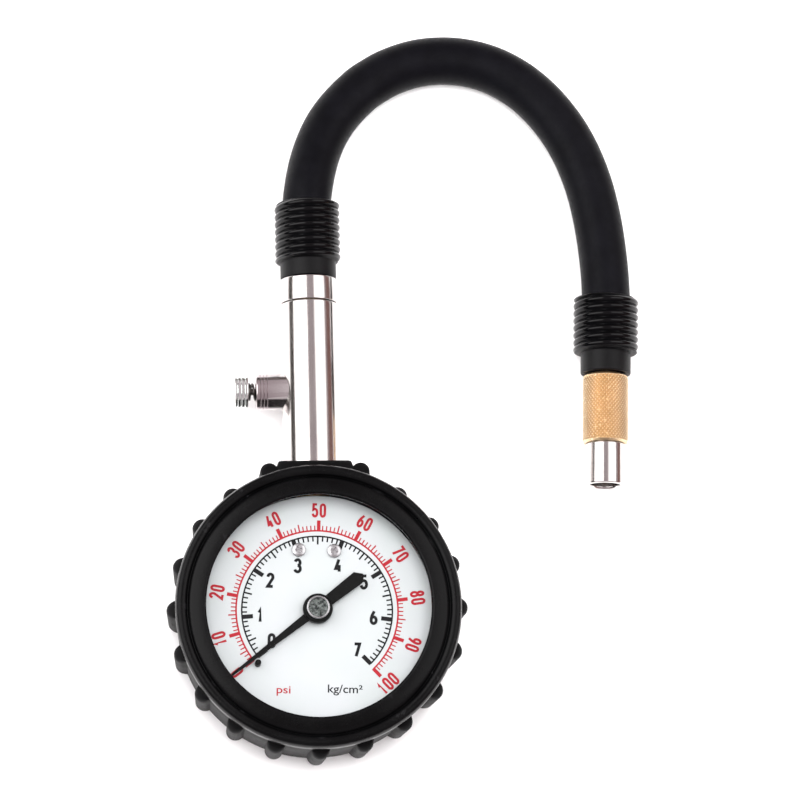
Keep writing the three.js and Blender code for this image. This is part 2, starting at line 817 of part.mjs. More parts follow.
function chuckBody() {
  const profile = [
    [4.5, NOSE_LENGTH + GAP],
    [KNURL_R, NOSE_LENGTH + GAP],
    [KNURL_R, KNURL_END],
    [4.5, KNURL_END],
    [4.5, 21],
    [PASSAGE_R, 21],
    [PASSAGE_R, 18],
    [4.5, 18],
  ];
  return turned(profile, ROD_SEGMENTS, "y");
}

function chuckNipple() {
  const profile = [
    [1.2, 21.3],
    [4.2, 21.3],
    [4.2, KNURL_END],
    [3.2, KNURL_END],
    ...barbs([33, 48]),
    [1.2, 48],
  ];
  return turned(profile, 14, "y");
}

function valveDepressor() {
  const profile = [
    [0, 4.7],
    [0.9, 4.7],
    [0.9, 11.2],
    [2.5, 11.2],
    [2.5, 12.2],
    [0.9, 12.2],
    [0.9, 13.6],
    [0, 13.6],
  ];
  return turned(profile, 12, "y");
}

// ---- the assembly --------------------------------------------------------------------------------
add("protective_boot", boot(), RUBBER);
add("case_cup", caseCup(), CASE_STEEL);
add("bezel_ring", bezel(), CASE_STEEL);
add("window_gasket", ring(LEDGE_R + 0.2, WINDOW_R, [29.5, 30.0], CASE_SEGMENTS), SEAL_RUBBER);
add("window_lens", rod(WINDOW_R, WINDOW_Z, CASE_SEGMENTS), CLEAR);
add("case_screw_left", caseScrew(CASE_SCREWS[0]), STEEL);
add("case_screw_right", caseScrew(CASE_SCREWS[1]), STEEL);

add("dial_plate", dialPlate(), DIAL_WHITE);
add("dial_screw_left", dialScrew(DIAL_SCREWS[0]), STEEL);
add("dial_screw_right", dialScrew(DIAL_SCREWS[1]), STEEL);
add("stop_pin", pinAt(STOP_PIN, STOP_PIN_R, [22.4, 27.6], 16), STEEL);

add("pointer", pointer(), POINTER_BLACK);
add("pointer_cap", rod(CAP_R, CAP_Z, 20), STEEL);
add("pinion_arbor", pinionArbor(), STEEL);
add("hairspring", hairspring(), MOVEMENT_BRASS);

add("sector_gear", sectorGear(), MOVEMENT_BRASS);
add("link_rod", linkRod(), STEEL);
add("tube_tip", tubeTip(), MOVEMENT_BRASS);
add("bourdon_tube", bourdonTube(), MOVEMENT_BRASS);
add("movement_plate_lower", movementPlate(LOWER_PLATE_Z, PILLARS), MOVEMENT_BRASS);
add("movement_plate_upper", movementPlate(UPPER_PLATE_Z, PILLARS), MOVEMENT_BRASS);
PILLARS.forEach((place, i) => {
  const side = ["right", "left"][i];
  const span = [LOWER_PLATE_Z[1] + GAP, UPPER_PLATE_Z[0] - GAP];
  const post = ring(ARBOR_R + GAP, 1.7, span, 14).translate(...place, 0);
  add(`movement_pillar_${side}`, post, MOVEMENT_BRASS);
  add(`plate_screw_${side}`, plateScrew(place), STEEL);
});
add("socket_block", socketBlock(), MOVEMENT_BRASS);

add("stem_seal", onStem(ring(4.9, 7.3, [34.3, 35.3], 20, "y")), SEAL_RUBBER);
add("stem_body", stemBody(), CHROME);
add("bleed_barrel", bleedBarrel(), CHROME);
add("bleed_plunger", bleedPlunger(), STEEL);
add("bleed_seal", onBleed(ring(1.2, 1.9, [2.5, 2.9], 16, "-x")), SEAL_RUBBER);
add("bleed_spring", bleedSpring(), STEEL);
add("bleed_knob", bleedKnob(), CHROME);
add("stem_nipple", stemNipple(), BRASS);
add("hose_ferrule", hoseFerrule(), CHROME);

add("stem_sleeve", onStem(sleeve(STEM_SLEEVE_Y, STEM_CUFF_R, SLEEVE_BORE_R)), RUBBER);
add("hose", hose(), HOSE_RUBBER);

add("chuck_sleeve", sleeve(CHUCK_SLEEVE, CHUCK_CUFF_R, 3.9), RUBBER, chuck);
add("chuck_nipple", chuckNipple(), BRASS, chuck);
add("chuck_body", chuckBody(), BRASS, chuck);
add("chuck_nose", chuckNose(), CHROME, chuck);
add("chuck_seal", ring(1.9, 3.8, [6.6, 8.6], 16, "y"), SEAL_RUBBER, chuck);
add("valve_depressor", valveDepressor(), BRASS, chuck);
add("check_seal", ring(1.2, 2.5, [10.3, 10.9], 16, "y"), SEAL_RUBBER, chuck);
add("depressor_spring", wireSpring(2.1, SPRING_WIRE_R, [12.8, 17.3], 3), STEEL, chuck);

export default root;
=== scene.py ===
import json
from math import cos, pi, radians, sin, sqrt

import bmesh
import bpy
from mathutils import Matrix, Vector, noise


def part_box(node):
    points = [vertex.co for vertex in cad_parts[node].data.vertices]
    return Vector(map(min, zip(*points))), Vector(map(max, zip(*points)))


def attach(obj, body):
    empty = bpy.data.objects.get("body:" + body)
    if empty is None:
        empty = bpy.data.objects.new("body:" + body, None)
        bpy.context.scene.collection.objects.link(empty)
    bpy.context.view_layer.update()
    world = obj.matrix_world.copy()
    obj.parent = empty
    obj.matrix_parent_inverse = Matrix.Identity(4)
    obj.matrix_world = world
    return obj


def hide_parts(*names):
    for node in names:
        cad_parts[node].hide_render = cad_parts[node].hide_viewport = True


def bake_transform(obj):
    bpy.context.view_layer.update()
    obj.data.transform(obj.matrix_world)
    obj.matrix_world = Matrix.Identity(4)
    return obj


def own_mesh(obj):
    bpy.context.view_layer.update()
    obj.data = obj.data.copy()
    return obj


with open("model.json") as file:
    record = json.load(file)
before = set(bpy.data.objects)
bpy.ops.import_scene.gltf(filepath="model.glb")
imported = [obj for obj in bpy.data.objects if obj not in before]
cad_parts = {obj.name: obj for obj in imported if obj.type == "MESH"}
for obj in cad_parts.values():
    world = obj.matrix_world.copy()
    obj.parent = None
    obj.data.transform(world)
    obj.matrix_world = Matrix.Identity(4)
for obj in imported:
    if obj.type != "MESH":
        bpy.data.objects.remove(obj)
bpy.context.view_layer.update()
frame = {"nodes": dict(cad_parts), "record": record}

# A hand-held tyre pressure gauge in a rubber boot, with stem, bleed valve, hose and push-on chuck.
# It lies on its back, dial up, with the stem along +Y. Sizes are in mm, and MM turns them into metres.
MM = 0.001

# ---- driving dimensions ----


def span(node, axis):
    low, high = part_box(node)
    return low[axis] / MM, high[axis] / MM


def middle(node, axis):
    return sum(span(node, axis)) / 2


def radius_of(node, axis):
    low, high = span(node, axis)
    return (high - low) / 2


def polar(radius, angle):
    return radius * cos(angle), radius * sin(angle)


def add_object(name, data, place):
    made = bpy.data.objects.new(name, data)
    bpy.context.scene.collection.objects.link(made)
    made.matrix_world = place
    return made


X, Y, Z = 0, 1, 2
DIAL_FRAME = Matrix.Identity(4)

# boot
BOOT_R = 37.9
BOOT_REAR_R = 36.3
BOOT_TOP = span("protective_boot", Z)[1]
BOOT_BACK = 2.5
LIP_R = 29.7
LUG_COUNT = 20
LUG_HEIGHT = 2.4
LUG_HALF = 2.4
LUG_Z = (4.0, 28.0)
LUG_END = 2.6
COLLAR_Y = span("protective_boot", Y)[1]
COLLAR_HALF = 9.8
COLLAR_BEAD = (12.2, 37.0)
COLLAR_BEAD_R = 2.4
COLLAR_Z = (4.0, 28.5)

# case, window, dial
CASE_R = radius_of("case_cup", X)
CASE_WALL = 0.9
LEDGE_Z = (28.3, 29.2)
LEDGE_R = 31.2
BEZEL_Z = span("bezel_ring", Z)
WINDOW_R = radius_of("window_lens", X)
WINDOW_Z = span("window_lens", Z)
DIAL_R = radius_of("dial_plate", X)
DIAL_Z = span("dial_plate", Z)
INK = 0.03
INK_LAYER = 0.004
DIAL_TURN = -2.2
SCALE_START = 222.8
DEGREES_PER_PSI = 2.7
PSI_PER_UNIT = 14.223

# pointer
POINTER_ANGLE = 217.2
POINTER_LENGTH = 29.0
POINTER_HALF = (1.25, 0.3)
TAIL_HALF = (1.4, 1.85)
TAIL_REACH = (13.6, 15.3)
POINTER_Z = (26.6, 27.2)
HUB_R = 3.95
HUB_Z = (26.0, 28.6)
CAP_R = radius_of("pointer_cap", X)
CAP_Z = span("pointer_cap", Z)

# stem and bleed valve
STEM_Z = middle("stem_body", Z)
STEM_R = radius_of("stem_body", X)
STEM_Y = span("stem_body", Y)
FERRULE_Y = span("hose_ferrule", Y)
SHANK_R = 4.8
SHANK_END = 44.6
AIRWAY_R = 1.8
NIPPLE_R = 5.2
NIPPLE_SEAT = 80
BLEED_Y = middle("bleed_barrel", Y)
BARREL_R = radius_of("bleed_barrel", Y)
BARREL_END = -span("bleed_barrel", X)[0]
BARREL_BORE_R = 2.8
BARREL_FLOOR = 10.2
SPRING_MEAN_R = 2.15
SPRING_WIRE_R = 0.3
SPRING_TURNS = 5
BLEED_TRAVEL = 1.5
KNOB_R = radius_of("bleed_knob", Y)
KNOB_SPAN = tuple(-x for x in reversed(span("bleed_knob", X)))

# hose, sleeves and chuck
HOSE_R = 6.6
SLEEVE_R = 8.9
SLEEVE_ROOT_R = 8.0
SLEEVE_BORE_R = 6.9
RIB_PITCH = 2.05
STEM_SLEEVE = (92.5, 97.1, 113.7)
STEM_CUFF_R = 7.55
CHUCK_MOUTH = (79.95, 36.0, 8.9)
CHUCK_LEAN = 2.17
NOSE_R = 5.4
NOSE_LENGTH = 11.3
MOUTH_R = 4.1
KNURL_R = 6.25
KNURL_SPAN = (11.6, 30.7)
CHUCK_SLEEVE = (31.0, 36.7, 52.3)
CHUCK_CUFF_R = 6.85
VALVE_SPRING = (12.5, 17.6)
VALVE_TRAVEL = 1.5

# The hose's line, in metres: out of the stem, down to the table, round and into the chuck's sleeve.
HOSE_ROUTE = [
    (0, 0.0884, 0.015), (0, 0.097, 0.015), (0, 0.106, 0.015), (0, 0.114, 0.015),
    (0.0006, 0.1186, 0.0145), (0.0014, 0.1228, 0.0135), (0.0025, 0.1271, 0.0122),
    (0.0039, 0.1312, 0.0111), (0.0057, 0.1353, 0.01), (0.008, 0.1393, 0.0089),
    (0.0107, 0.1429, 0.0081), (0.0136, 0.1461, 0.0074), (0.0167, 0.149, 0.0069),
    (0.0201, 0.1513, 0.00665), (0.0236, 0.1533, 0.0066), (0.031, 0.1559, 0.0066),
    (0.0386, 0.1568, 0.0066), (0.0461, 0.1561, 0.0066), (0.0531, 0.1539, 0.0066),
    (0.0594, 0.1503, 0.0066), (0.0648, 0.1457, 0.0066), (0.0694, 0.1403, 0.0066),
    (0.0733, 0.1342, 0.0066), (0.0764, 0.1274, 0.0066), (0.0788, 0.1198, 0.00675),
    (0.0804, 0.1116, 0.0072), (0.0813, 0.104, 0.0078), (0.0818, 0.0965, 0.0085),
    (0.08194, 0.0888, 0.0089), (0.08166, 0.0813, 0.0089), (0.08137, 0.0738, 0.0089),
]

# ---- camera ----
CAMERA_TARGET = Vector((25.397, 62.2, 0.0))
CAMERA_DISTANCE = 1216.33
CAMERA_TURN = radians(20.885)
CAMERA_TILT = radians(13.1675)
CAMERA_ROLL = radians(-1.4074)


def make_camera():
    y, x = polar(sin(CAMERA_TILT), CAMERA_TURN)
    look = Vector((x, y, -cos(CAMERA_TILT)))
    level = look.cross(Vector((0, 1, 0))).normalized()
    above = level.cross(look)
    right = level * cos(CAMERA_ROLL) + above * sin(CAMERA_ROLL)
    up = above * cos(CAMERA_ROLL) - level * sin(CAMERA_ROLL)
    data = bpy.data.cameras.new("camera")
    data.sensor_width = 36
    data.lens = 200
    turn = Matrix((right, up, -look)).transposed().to_4x4()
    place = Matrix.Translation((CAMERA_TARGET - look * CAMERA_DISTANCE) * MM) @ turn
    bpy.context.scene.camera = add_object("camera", data, place)


make_camera()

# ---- local frames ----
# A turned piece is made about its own Z, and its frame puts that axis where the CAD has it.


def local_frame(origin, axis):
    along = Vector(axis).normalized()
    down = Vector((0, 0, -1)) if abs(along.z) < 0.5 else Vector((0, 1, 0))
    across = down.cross(along)
    turn = Matrix((across, down, along)).transposed().to_4x4()
    return Matrix.Translation(Vector(origin) * MM) @ turn


lean = radians(CHUCK_LEAN)
STEM_FRAME = local_frame((0, 0, STEM_Z), (0, 1, 0))
BLEED_FRAME = local_frame((0, BLEED_Y, STEM_Z), (-1, 0, 0))
CHUCK_FRAME = local_frame(CHUCK_MOUTH, (sin(lean), cos(lean), 0))

# ---- materials ----


class Nodes:
    """Adds nodes to the tree of one material or world; a kind leaves out its ShaderNode prefix."""

    def __init__(self, tree):
        self.tree = tree

    def node(self, kind, **values):
        made = self.tree.nodes.new("ShaderNode" + kind)
        for key, value in values.items():
            setattr(made, key, value)
        return made

    def link(self, source, target):
        self.tree.links.new(source, target)

    def between(self, value, low, high, source_low=0.3, source_high=0.7):
        remap = self.node("MapRange")
        self.link(value, remap.inputs["Value"])
        numbers = (source_low, source_high, low, high)
        for socket, number in zip(("From Min", "From Max", "To Min", "To Max"), numbers):
            remap.inputs[socket].default_value = number
        return remap.outputs["Result"]

    def mix(self, value, first, second):
        """Blends two colours; each is a colour or another node's output."""
        mixer = self.node("Mix", data_type="RGBA")
        self.link(value, mixer.inputs["Factor"])
        for socket, colour in zip(("A", "B"), (first, second)):
            target = next(i for i in mixer.inputs if i.name == socket and i.type == "RGBA")
            if isinstance(colour, tuple):
                target.default_value = (*colour, 1)
            else:
                self.link(colour, target)
        return next(o for o in mixer.outputs if o.type == "RGBA")


class Surface(Nodes):
    """A Principled material whose colour, roughness and relief come from procedural nodes."""

    def __init__(self, name, **constant):
        self.material = bpy.data.materials.new(name)
        self.material.use_nodes = True
        super().__init__(self.material.node_tree)
        self.shader = self.tree.nodes["Principled BSDF"]
        for socket, value in constant.items():
            self.shader.inputs[socket.replace("_", " ")].default_value = value

    def place(self):
        """The point in the piece's own frame, in metres."""
        return self.node("TexCoord").outputs["Object"]

    def noise(self, size, stretch=(1, 1, 1), detail=3.0, roughness=0.55):
        """Noise with features of the given size in mm; stretch above 1 draws them out."""
        mapping = self.node("Mapping")
        mapping.inputs["Scale"].default_value = [1 / s for s in stretch]
        texture = self.node("TexNoise")
        texture.inputs["Scale"].default_value = 1 / (size * MM)
        texture.inputs["Detail"].default_value = detail
        texture.inputs["Roughness"].default_value = roughness
        self.link(self.place(), mapping.inputs["Vector"])
        self.link(mapping.outputs["Vector"], texture.inputs["Vector"])
        return texture.outputs["Fac"]

    def edges(self, low=0.5, high=0.56):
        """From 0 on flat and hollow places to 1 on outer edges."""
        geometry = self.node("NewGeometry")
        return self.between(geometry.outputs["Pointiness"], 0, 1, low, high)

    def from_axis(self):
        """Distance from the piece's own Z axis."""
        flatten = self.node("VectorMath", operation="MULTIPLY")
        flatten.inputs[1].default_value = (1, 1, 0)
        length = self.node("VectorMath", operation="LENGTH")
        self.link(self.place(), flatten.inputs[0])
        self.link(flatten.outputs["Vector"], length.inputs[0])
        return length.outputs["Value"]

    def lower(self, high, low):
        """From 0 above one height in mm to 1 below another."""
        split = self.node("SeparateXYZ")
        self.link(self.place(), split.inputs["Vector"])
        return self.between(split.outputs["Z"], 1, 0, low * MM, high * MM)

    def colour(self, output):
        self.link(output, self.shader.inputs["Base Color"])

    def rough(self, value, low, high):
        self.link(self.between(value, low, high), self.shader.inputs["Roughness"])

    def bump(self, value, depth, strength=1.0):
        """Relief of the given depth in mm, added to any that is there already."""
        relief = self.node("Bump")
        relief.inputs["Distance"].default_value = depth * MM
        relief.inputs["Strength"].default_value = strength
        self.link(value, relief.inputs["Height"])
        normal = self.shader.inputs["Normal"]
        if normal.is_linked:
            self.link(normal.links[0].from_socket, relief.inputs["Normal"])
        self.link(relief.outputs["Normal"], normal)


def grey(level):
    return level, level, level


def boot_rubber():
    """Black rubber, with painted light low down on its sides: lighter grey streaks stand for the
    floor's bounce light and sheen.
    """
    look = Surface("boot_rubber", Specular_IOR_Level=0.11)
    grain = look.noise(0.35, detail=4)
    patches = look.noise(9, detail=3)
    base = look.mix(look.between(patches, 0, 1), (0.0004, 0.0004, 0.0005), (0.0012, 0.0013, 0.0014))
    worn = look.mix(look.edges(), base, (0.006, 0.006, 0.0065))
    # Painted light: streaky lighter grey for the floor's bounce light and sheen on the lower sides,
    # full below 20 mm and gone above 26 mm.
    painted_floor_light = look.mix(
        look.between(look.noise(1.1, stretch=(1, 1, 1.6), detail=4), 0, 1),
        grey(0.012), grey(0.034),
    )
    look.colour(look.mix(look.lower(26.0, 20.0), worn, painted_floor_light))
    sides = look.lower(31.0, 27.0)
    roughness = look.node("Math", operation="ADD")
    look.link(look.between(patches, 0.22, 0.32), roughness.inputs[0])
    look.link(look.between(sides, 0, 0.38, 0, 1), roughness.inputs[1])
    look.link(roughness.outputs["Value"], look.shader.inputs["Roughness"])
    look.bump(grain, 0.05, 0.5)
    look.bump(look.noise(2.6, detail=2), 0.12, 0.3)
    return look.material


def hose_rubber():
    look = Surface("hose_rubber", Specular_IOR_Level=0.07)
    patches = look.noise(7, detail=4)
    look.colour(
        look.mix(look.between(patches, 0, 1), (0.0018, 0.0018, 0.0026), (0.0034, 0.0034, 0.0048))
    )
    look.rough(look.noise(1.2), 0.4, 0.55)
    look.bump(look.noise(0.3, detail=4), 0.03, 0.6)
    return look.material


def sleeve_rubber():
    """Soft black rubber: dull in the hollows and rubbed glossy on the ribs' crests."""
    look = Surface("sleeve_rubber", Specular_IOR_Level=0.2)
    patches = look.noise(4, detail=3)
    base = look.mix(look.between(patches, 0, 1), (0.0006, 0.0006, 0.0008), (0.0014, 0.0014, 0.0018))
    look.colour(look.mix(look.edges(0.52, 0.62), base, (0.003, 0.003, 0.0034)))
    crest = look.between(look.from_axis(), 0.5, 0.1, 8.35 * MM, 8.7 * MM)
    look.link(crest, look.shader.inputs["Roughness"])
    look.bump(look.noise(0.4, detail=4), 0.02, 0.5)
    return look.material


def grained(name, size, dark, light, rough, specular, relief, detail=3, stretch=(1, 1, 1)):
    """A surface whose looks all follow one grain of this size in mm; a metal has no specular level."""
    look = Surface(name, **({"Specular_IOR_Level": specular} if specular else {"Metallic": 1.0}))
    grain = look.noise(size, stretch, detail)
    look.colour(look.mix(grain, dark, light))
    look.rough(grain, *rough)
    if relief:
        look.bump(grain, *relief)
    return look.material


def plated(name, dark, light, rough_low, rough_high, streak):
    """Bright plating over drawn bar: fine streaks along the piece's own axis."""
    look = Surface(name, Metallic=1.0)
    cloud = look.noise(6, stretch=(1, 1, 3))
    lines = look.noise(0.25, stretch=(1, 1, streak), detail=4)
    base = look.mix(look.between(cloud, 0, 1), dark, light)
    look.colour(look.mix(look.edges(0.52, 0.62), base, (0.95, 0.94, 0.92)))
    look.rough(lines, rough_low, rough_high)
    look.bump(lines, 0.004, 0.35)
    return look.material


def knurled_brass():
    look = Surface("knurled_brass", Metallic=1.0)
    cloud = look.noise(3.5, detail=4)
    base = look.mix(look.between(cloud, 0, 1), (0.71, 0.52, 0.305), (0.81, 0.60, 0.37))
    look.colour(look.mix(look.edges(0.5, 0.58), base, (0.96, 0.80, 0.58)))
    look.rough(look.noise(0.5), 0.34, 0.5)
    look.bump(look.noise(0.15, detail=3), 0.01, 0.5)
    return look.material


def case_steel():
    look = Surface("case_steel", Metallic=0.3)
    patches = look.noise(3)
    look.colour(look.mix(patches, (0.012, 0.012, 0.014), (0.022, 0.022, 0.025)))
    look.rough(patches, 0.35, 0.55)
    look.bump(look.noise(0.5), 0.02, 0.4)
    return look.material


def dial_white():
    look = Surface("dial_white", Specular_IOR_Level=0.35)
    patches = look.noise(14, detail=2)
    look.colour(
        look.mix(look.between(patches, 0, 1), (0.345, 0.37, 0.37), (0.365, 0.38, 0.39))
    )
    look.rough(look.noise(0.8), 0.42, 0.55)
    look.bump(look.noise(0.25), 0.004, 0.4)
    return look.material


def cap_metal():
    """Dark, cast-looking face of the pointer's cap."""
    look = Surface("cap_metal", Metallic=0.7)
    crust = look.noise(0.9, detail=5, roughness=0.7)
    speckle = look.between(crust, 0, 1, 0.42, 0.62)
    look.colour(look.mix(speckle, (0.008, 0.010, 0.010), (0.17, 0.19, 0.18)))
    look.rough(crust, 0.3, 0.6)
    look.bump(crust, 0.12, 0.8)
    return look.material


def window_clear():
    """Clear window: see-through, with a little more gloss where it is seen at a slant."""
    look = Surface("window_clear", Specular_IOR_Level=0.5, Roughness=0.03)
    smears = look.noise(12, detail=2)
    look.colour(look.mix(smears, (0.55, 0.60, 0.60), (0.65, 0.70, 0.70)))
    slant = look.node("LayerWeight")
    slant.inputs["Blend"].default_value = 0.25
    look.link(
        look.between(slant.outputs["Facing"], 0.002, 0.3, 0.2, 1.0), look.shader.inputs["Alpha"]
    )
    return look.material


MADE = (
    boot_rubber, hose_rubber, sleeve_rubber, knurled_brass, case_steel, dial_white, cap_metal,
    window_clear,
)
# Darkest and lightest colour, lowest and highest roughness, and how far the streaks are drawn out.
PLATED = {
    "chrome": ((0.53, 0.50, 0.49), (0.63, 0.60, 0.58), 0.12, 0.2, 60),
    # Painted reflection: a lighter, green-tinted copy of the chrome, for the bleed knob, standing for a
    # brighter reflection on it.
    "chrome_painted_bright_reflection": ((0.86, 0.90, 0.88), (0.95, 0.97, 0.95), 0.14, 0.22, 0.2),
    # Painted reflection: a darker, mauve-tinted copy of the chrome, for the bleed barrel, standing for
    # the dark room it reflects.
    "chrome_painted_dark_reflection": ((0.46, 0.40, 0.41), (0.60, 0.54, 0.55), 0.14, 0.26, 0.2),
}
# Grain size, darkest and lightest colour, roughness range, specular level, relief, detail, stretch.
GRAINED = {
    "seal_rubber": (0.6, grey(0.006), grey(0.014), (0.5, 0.7), 0.4, (0.02, 0.4)),
    "movement_brass": (
        0.4, (0.62, 0.44, 0.18), (0.78, 0.6, 0.3), (0.25, 0.45), None, (0.005, 0.4), 3, (8, 1, 1),
    ),
    "steel": (
        0.3, (0.42, 0.42, 0.43), (0.62, 0.62, 0.63), (0.22, 0.4), None, (0.004, 0.4), 3, (6, 1, 1),
    ),
    "spring_steel": (0.3, (0.07, 0.065, 0.06), (0.17, 0.155, 0.15), (0.25, 0.4), None, (0.004, 0.4)),
    "red_ink": (0.5, (0.23, 0.008, 0.014), (0.29, 0.018, 0.026), (0.45, 0.6), 0.15, None, 4),
    "black_ink": (0.5, grey(0.002), (0.007, 0.007, 0.008), (0.45, 0.6), 0.15, None, 4),
    "pointer_black": (0.5, grey(0.001), grey(0.003), (0.4, 0.6), 0.08, (0.01, 0.4), 4),
}
MATERIALS = {make.__name__: make() for make in MADE}
for name, values in PLATED.items():
    MATERIALS[name] = plated(name, *values)
for name, values in GRAINED.items():
    MATERIALS[name] = grained(name, *values)

# ---- mesh helpers ----
SMOOTH_ANGLE = radians(32)


def rounded(profile, steps=4):
    """Rounds the corners of a profile of (radius, height) or (radius, height, fillet) points."""
    closed = profile[0][0] > 0
    count = len(profile)
    points = []
    for i, (r, h, *fillet) in enumerate(profile):
        ends = not closed and i in (0, count - 1)
        if ends or not fillet:
            points.append((r, h))
            continue
        corner = Vector((r, h))
        before = Vector(profile[i - 1][:2]) - corner
        after = Vector(profile[(i + 1) % count][:2]) - corner
        cut = min(fillet[0], 0.48 * before.length, 0.48 * after.length)
        start = corner + before.normalized() * cut
        end = corner + after.normalized() * cut
        for k in range(steps + 1):
            s = k / steps
            point = start * (1 - s) ** 2 + corner * (2 * s * (1 - s)) + end * s * s
            points.append(tuple(point))
    return points


def mesh_of(name, points, faces):
    """A mesh of points in mm."""
    mesh = bpy.data.meshes.new(name)
    mesh.from_pydata([tuple(value * MM for value in point) for point in points], [], faces)
    return mesh


def prism_mesh(name, outline, low, high):
    """A closed upright prism with this outline of (x, y) points."""
    count = len(outline)
    points = [(x, y, z) for z in (low, high) for x, y in outline]
    faces = [tuple(range(count))[::-1], tuple(range(count, 2 * count))]
    for i in range(count):
        j = (i + 1) % count
        faces.append((i, j, count + j, count + i))
    return mesh_of(name, points, faces)


def settle(mesh, flat=False):
    """Faces outwards, smooth except at sharp edges."""
    work = bmesh.new()
    work.from_mesh(mesh)
    bmesh.ops.remove_doubles(work, verts=work.verts, dist=1e-7)
    bmesh.ops.recalc_face_normals(work, faces=work.faces)
    work.to_mesh(mesh)
    work.free()
    if flat:
        return
    mesh.shade_smooth()
    mesh.set_sharp_from_angle(angle=SMOOTH_ANGLE)


def turned(name, profile, place, columns=96, shape=None, angles=None, flat=False):
    """A solid turned about its own Z. shape(angle, radius, height) may move each point."""
    rows = rounded(profile)
    if angles is None:
        angles = [2 * pi * i / columns for i in range(columns)]
    vertices = []
    rings = []
    for r, h in rows:
        if r == 0:
            rings.append([len(vertices)] * len(angles))
            vertices.append((0, 0, h))
            continue
        rings.append(list(range(len(vertices), len(vertices) + len(angles))))
        for angle in angles:
            wide, high = shape(angle, r, h) if shape else (r, h)
            vertices.append((*polar(wide, angle), high))
    pairs = list(zip(rings, rings[1:]))
    if rows[0][0] > 0:
        pairs.append((rings[-1], rings[0]))
    faces = []
    for low, high in pairs:
        for i in range(len(angles)):
            j = (i + 1) % len(angles)
            corners = dict.fromkeys((low[i], low[j], high[j], high[i]))
            if len(corners) > 2:
                faces.append(tuple(corners))
    mesh = mesh_of(name, vertices, faces)
    settle(mesh, flat)
    return add_object(name, mesh, place)


def finished(piece, material, *nodes, body="gauge", slot=None):
    """Gives a piece its material and its body unless it has two, and hides the CAD nodes it stands for;
    slot is not used.
    """
    piece.data.materials.clear()
    piece.data.materials.append(MATERIALS[material])
    if body:
        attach(piece, body)
    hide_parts(*nodes)
    return piece


def cut(piece, cutter):
    """Takes the cutter out of the piece and applies the result."""
    boolean = piece.modifiers.new("cut", "BOOLEAN")
    boolean.operation = "DIFFERENCE"
    boolean.solver = "EXACT"
    boolean.object = cutter
    graph = bpy.context.evaluated_depsgraph_get()
    mesh = bpy.data.meshes.new_from_object(piece.evaluated_get(graph))
    piece.modifiers.clear()
    piece.data = mesh
    bpy.data.objects.remove(cutter)
    settle(mesh)


# ---- hose ----
ROUTE_STEPS = 8


def along_route(points, steps):
    """Centripetal Catmull-Rom points through the route."""
    places = [Vector(p) for p in points]
    places = [2 * places[0] - places[1], *places, 2 * places[-1] - places[-2]]
    line = []
    for p0, p1, p2, p3 in zip(places, places[1:], places[2:], places[3:]):
        t1 = (p1 - p0).length ** 0.5
        t2 = t1 + (p2 - p1).length ** 0.5
        t3 = t2 + (p3 - p2).length ** 0.5
        for k in range(steps):
            t = t1 + (t2 - t1) * k / steps
            a1 = p0.lerp(p1, t / t1)
            a2 = p1.lerp(p2, (t - t1) / (t2 - t1))
            a3 = p2.lerp(p3, (t - t2) / (t3 - t2))
            b1 = a1.lerp(a2, t / t2)
            b2 = a2.lerp(a3, (t - t1) / (t3 - t1))
            line.append(b1.lerp(b2, (t - t1) / (t2 - t1)))
    line.append(Vector(points[-1]))
    return line


def make_hose():
    line = along_route(HOSE_ROUTE, ROUTE_STEPS)
    curve = bpy.data.curves.new("rubber_hose", "CURVE")
    curve.dimensions = "3D"
    curve.bevel_depth = HOSE_R * MM
    curve.bevel_resolution = 14
    curve.use_fill_caps = True
    spline = curve.splines.new("POLY")
    spline.points.add(len(line) - 1)
    for point, place in zip(spline.points, line):
        point.co = (*place, 1)
    spline.use_smooth = True
    length = sum((b - a).length for a, b in zip(line, line[1:]))
    return add_object("rubber_hose", curve, DIAL_FRAME), length


hose, hose_length = make_hose()
finished(hose, "hose_rubber", "hose")

# ---- ribbed sleeves ----


def make_sleeve(name, place, spans, cuff_r, end_bore, phase):
    """A cuff, then one helical rib up to the open end."""
    cuff, first, end = spans
    edge = 0.55
    steps = round((end - first) / RIB_PITCH * 12)
    rib_rows = [(SLEEVE_R, first + (end - first) * k / steps) for k in range(steps + 1)]
    profile = [
        (end_bore, cuff + 0.4), (end_bore + 0.5, cuff, 0.3), (cuff_r, cuff, 0.45),
        (cuff_r, first - 0.5), *rib_rows, (SLEEVE_BORE_R + 0.3, end, 0.3),
        (SLEEVE_BORE_R, end - 0.6), (SLEEVE_BORE_R, first + 0.4), (end_bore, first + 0.3),
    ]

    def ribbed(angle, radius, height):
        if radius < SLEEVE_R:
            return radius, height
        wave = (height - first) / RIB_PITCH - angle / (2 * pi) + phase
        swell = abs(cos(pi * wave)) ** 0.8
        ends = min(1.0, (height - first) / edge, (end - height) / edge)
        top = SLEEVE_ROOT_R + (SLEEVE_R - SLEEVE_ROOT_R) * swell
        low = cuff_r if height - first < end - height else SLEEVE_BORE_R + 0.5
        return low + (top - low) * sin(max(0.0, ends) * pi / 2), height

    return turned(name, profile, place, columns=72, shape=ribbed)


stem_sleeve = make_sleeve("ribbed_stem_sleeve", STEM_FRAME, STEM_SLEEVE, STEM_CUFF_R, 6.9, 0.25)
finished(stem_sleeve, "sleeve_rubber", "stem_sleeve")
chuck_sleeve = make_sleeve("ribbed_chuck_sleeve", CHUCK_FRAME, CHUCK_SLEEVE, CHUCK_CUFF_R, 3.9, 0.0)
finished(chuck_sleeve, "sleeve_rubber", "chuck_sleeve")

# ---- chuck ----
KNURL_AROUND = 38
KNURL_ALONG = 1.15
KNURL_DEPTH = 0.38
KNURL_WEAR = 0.07


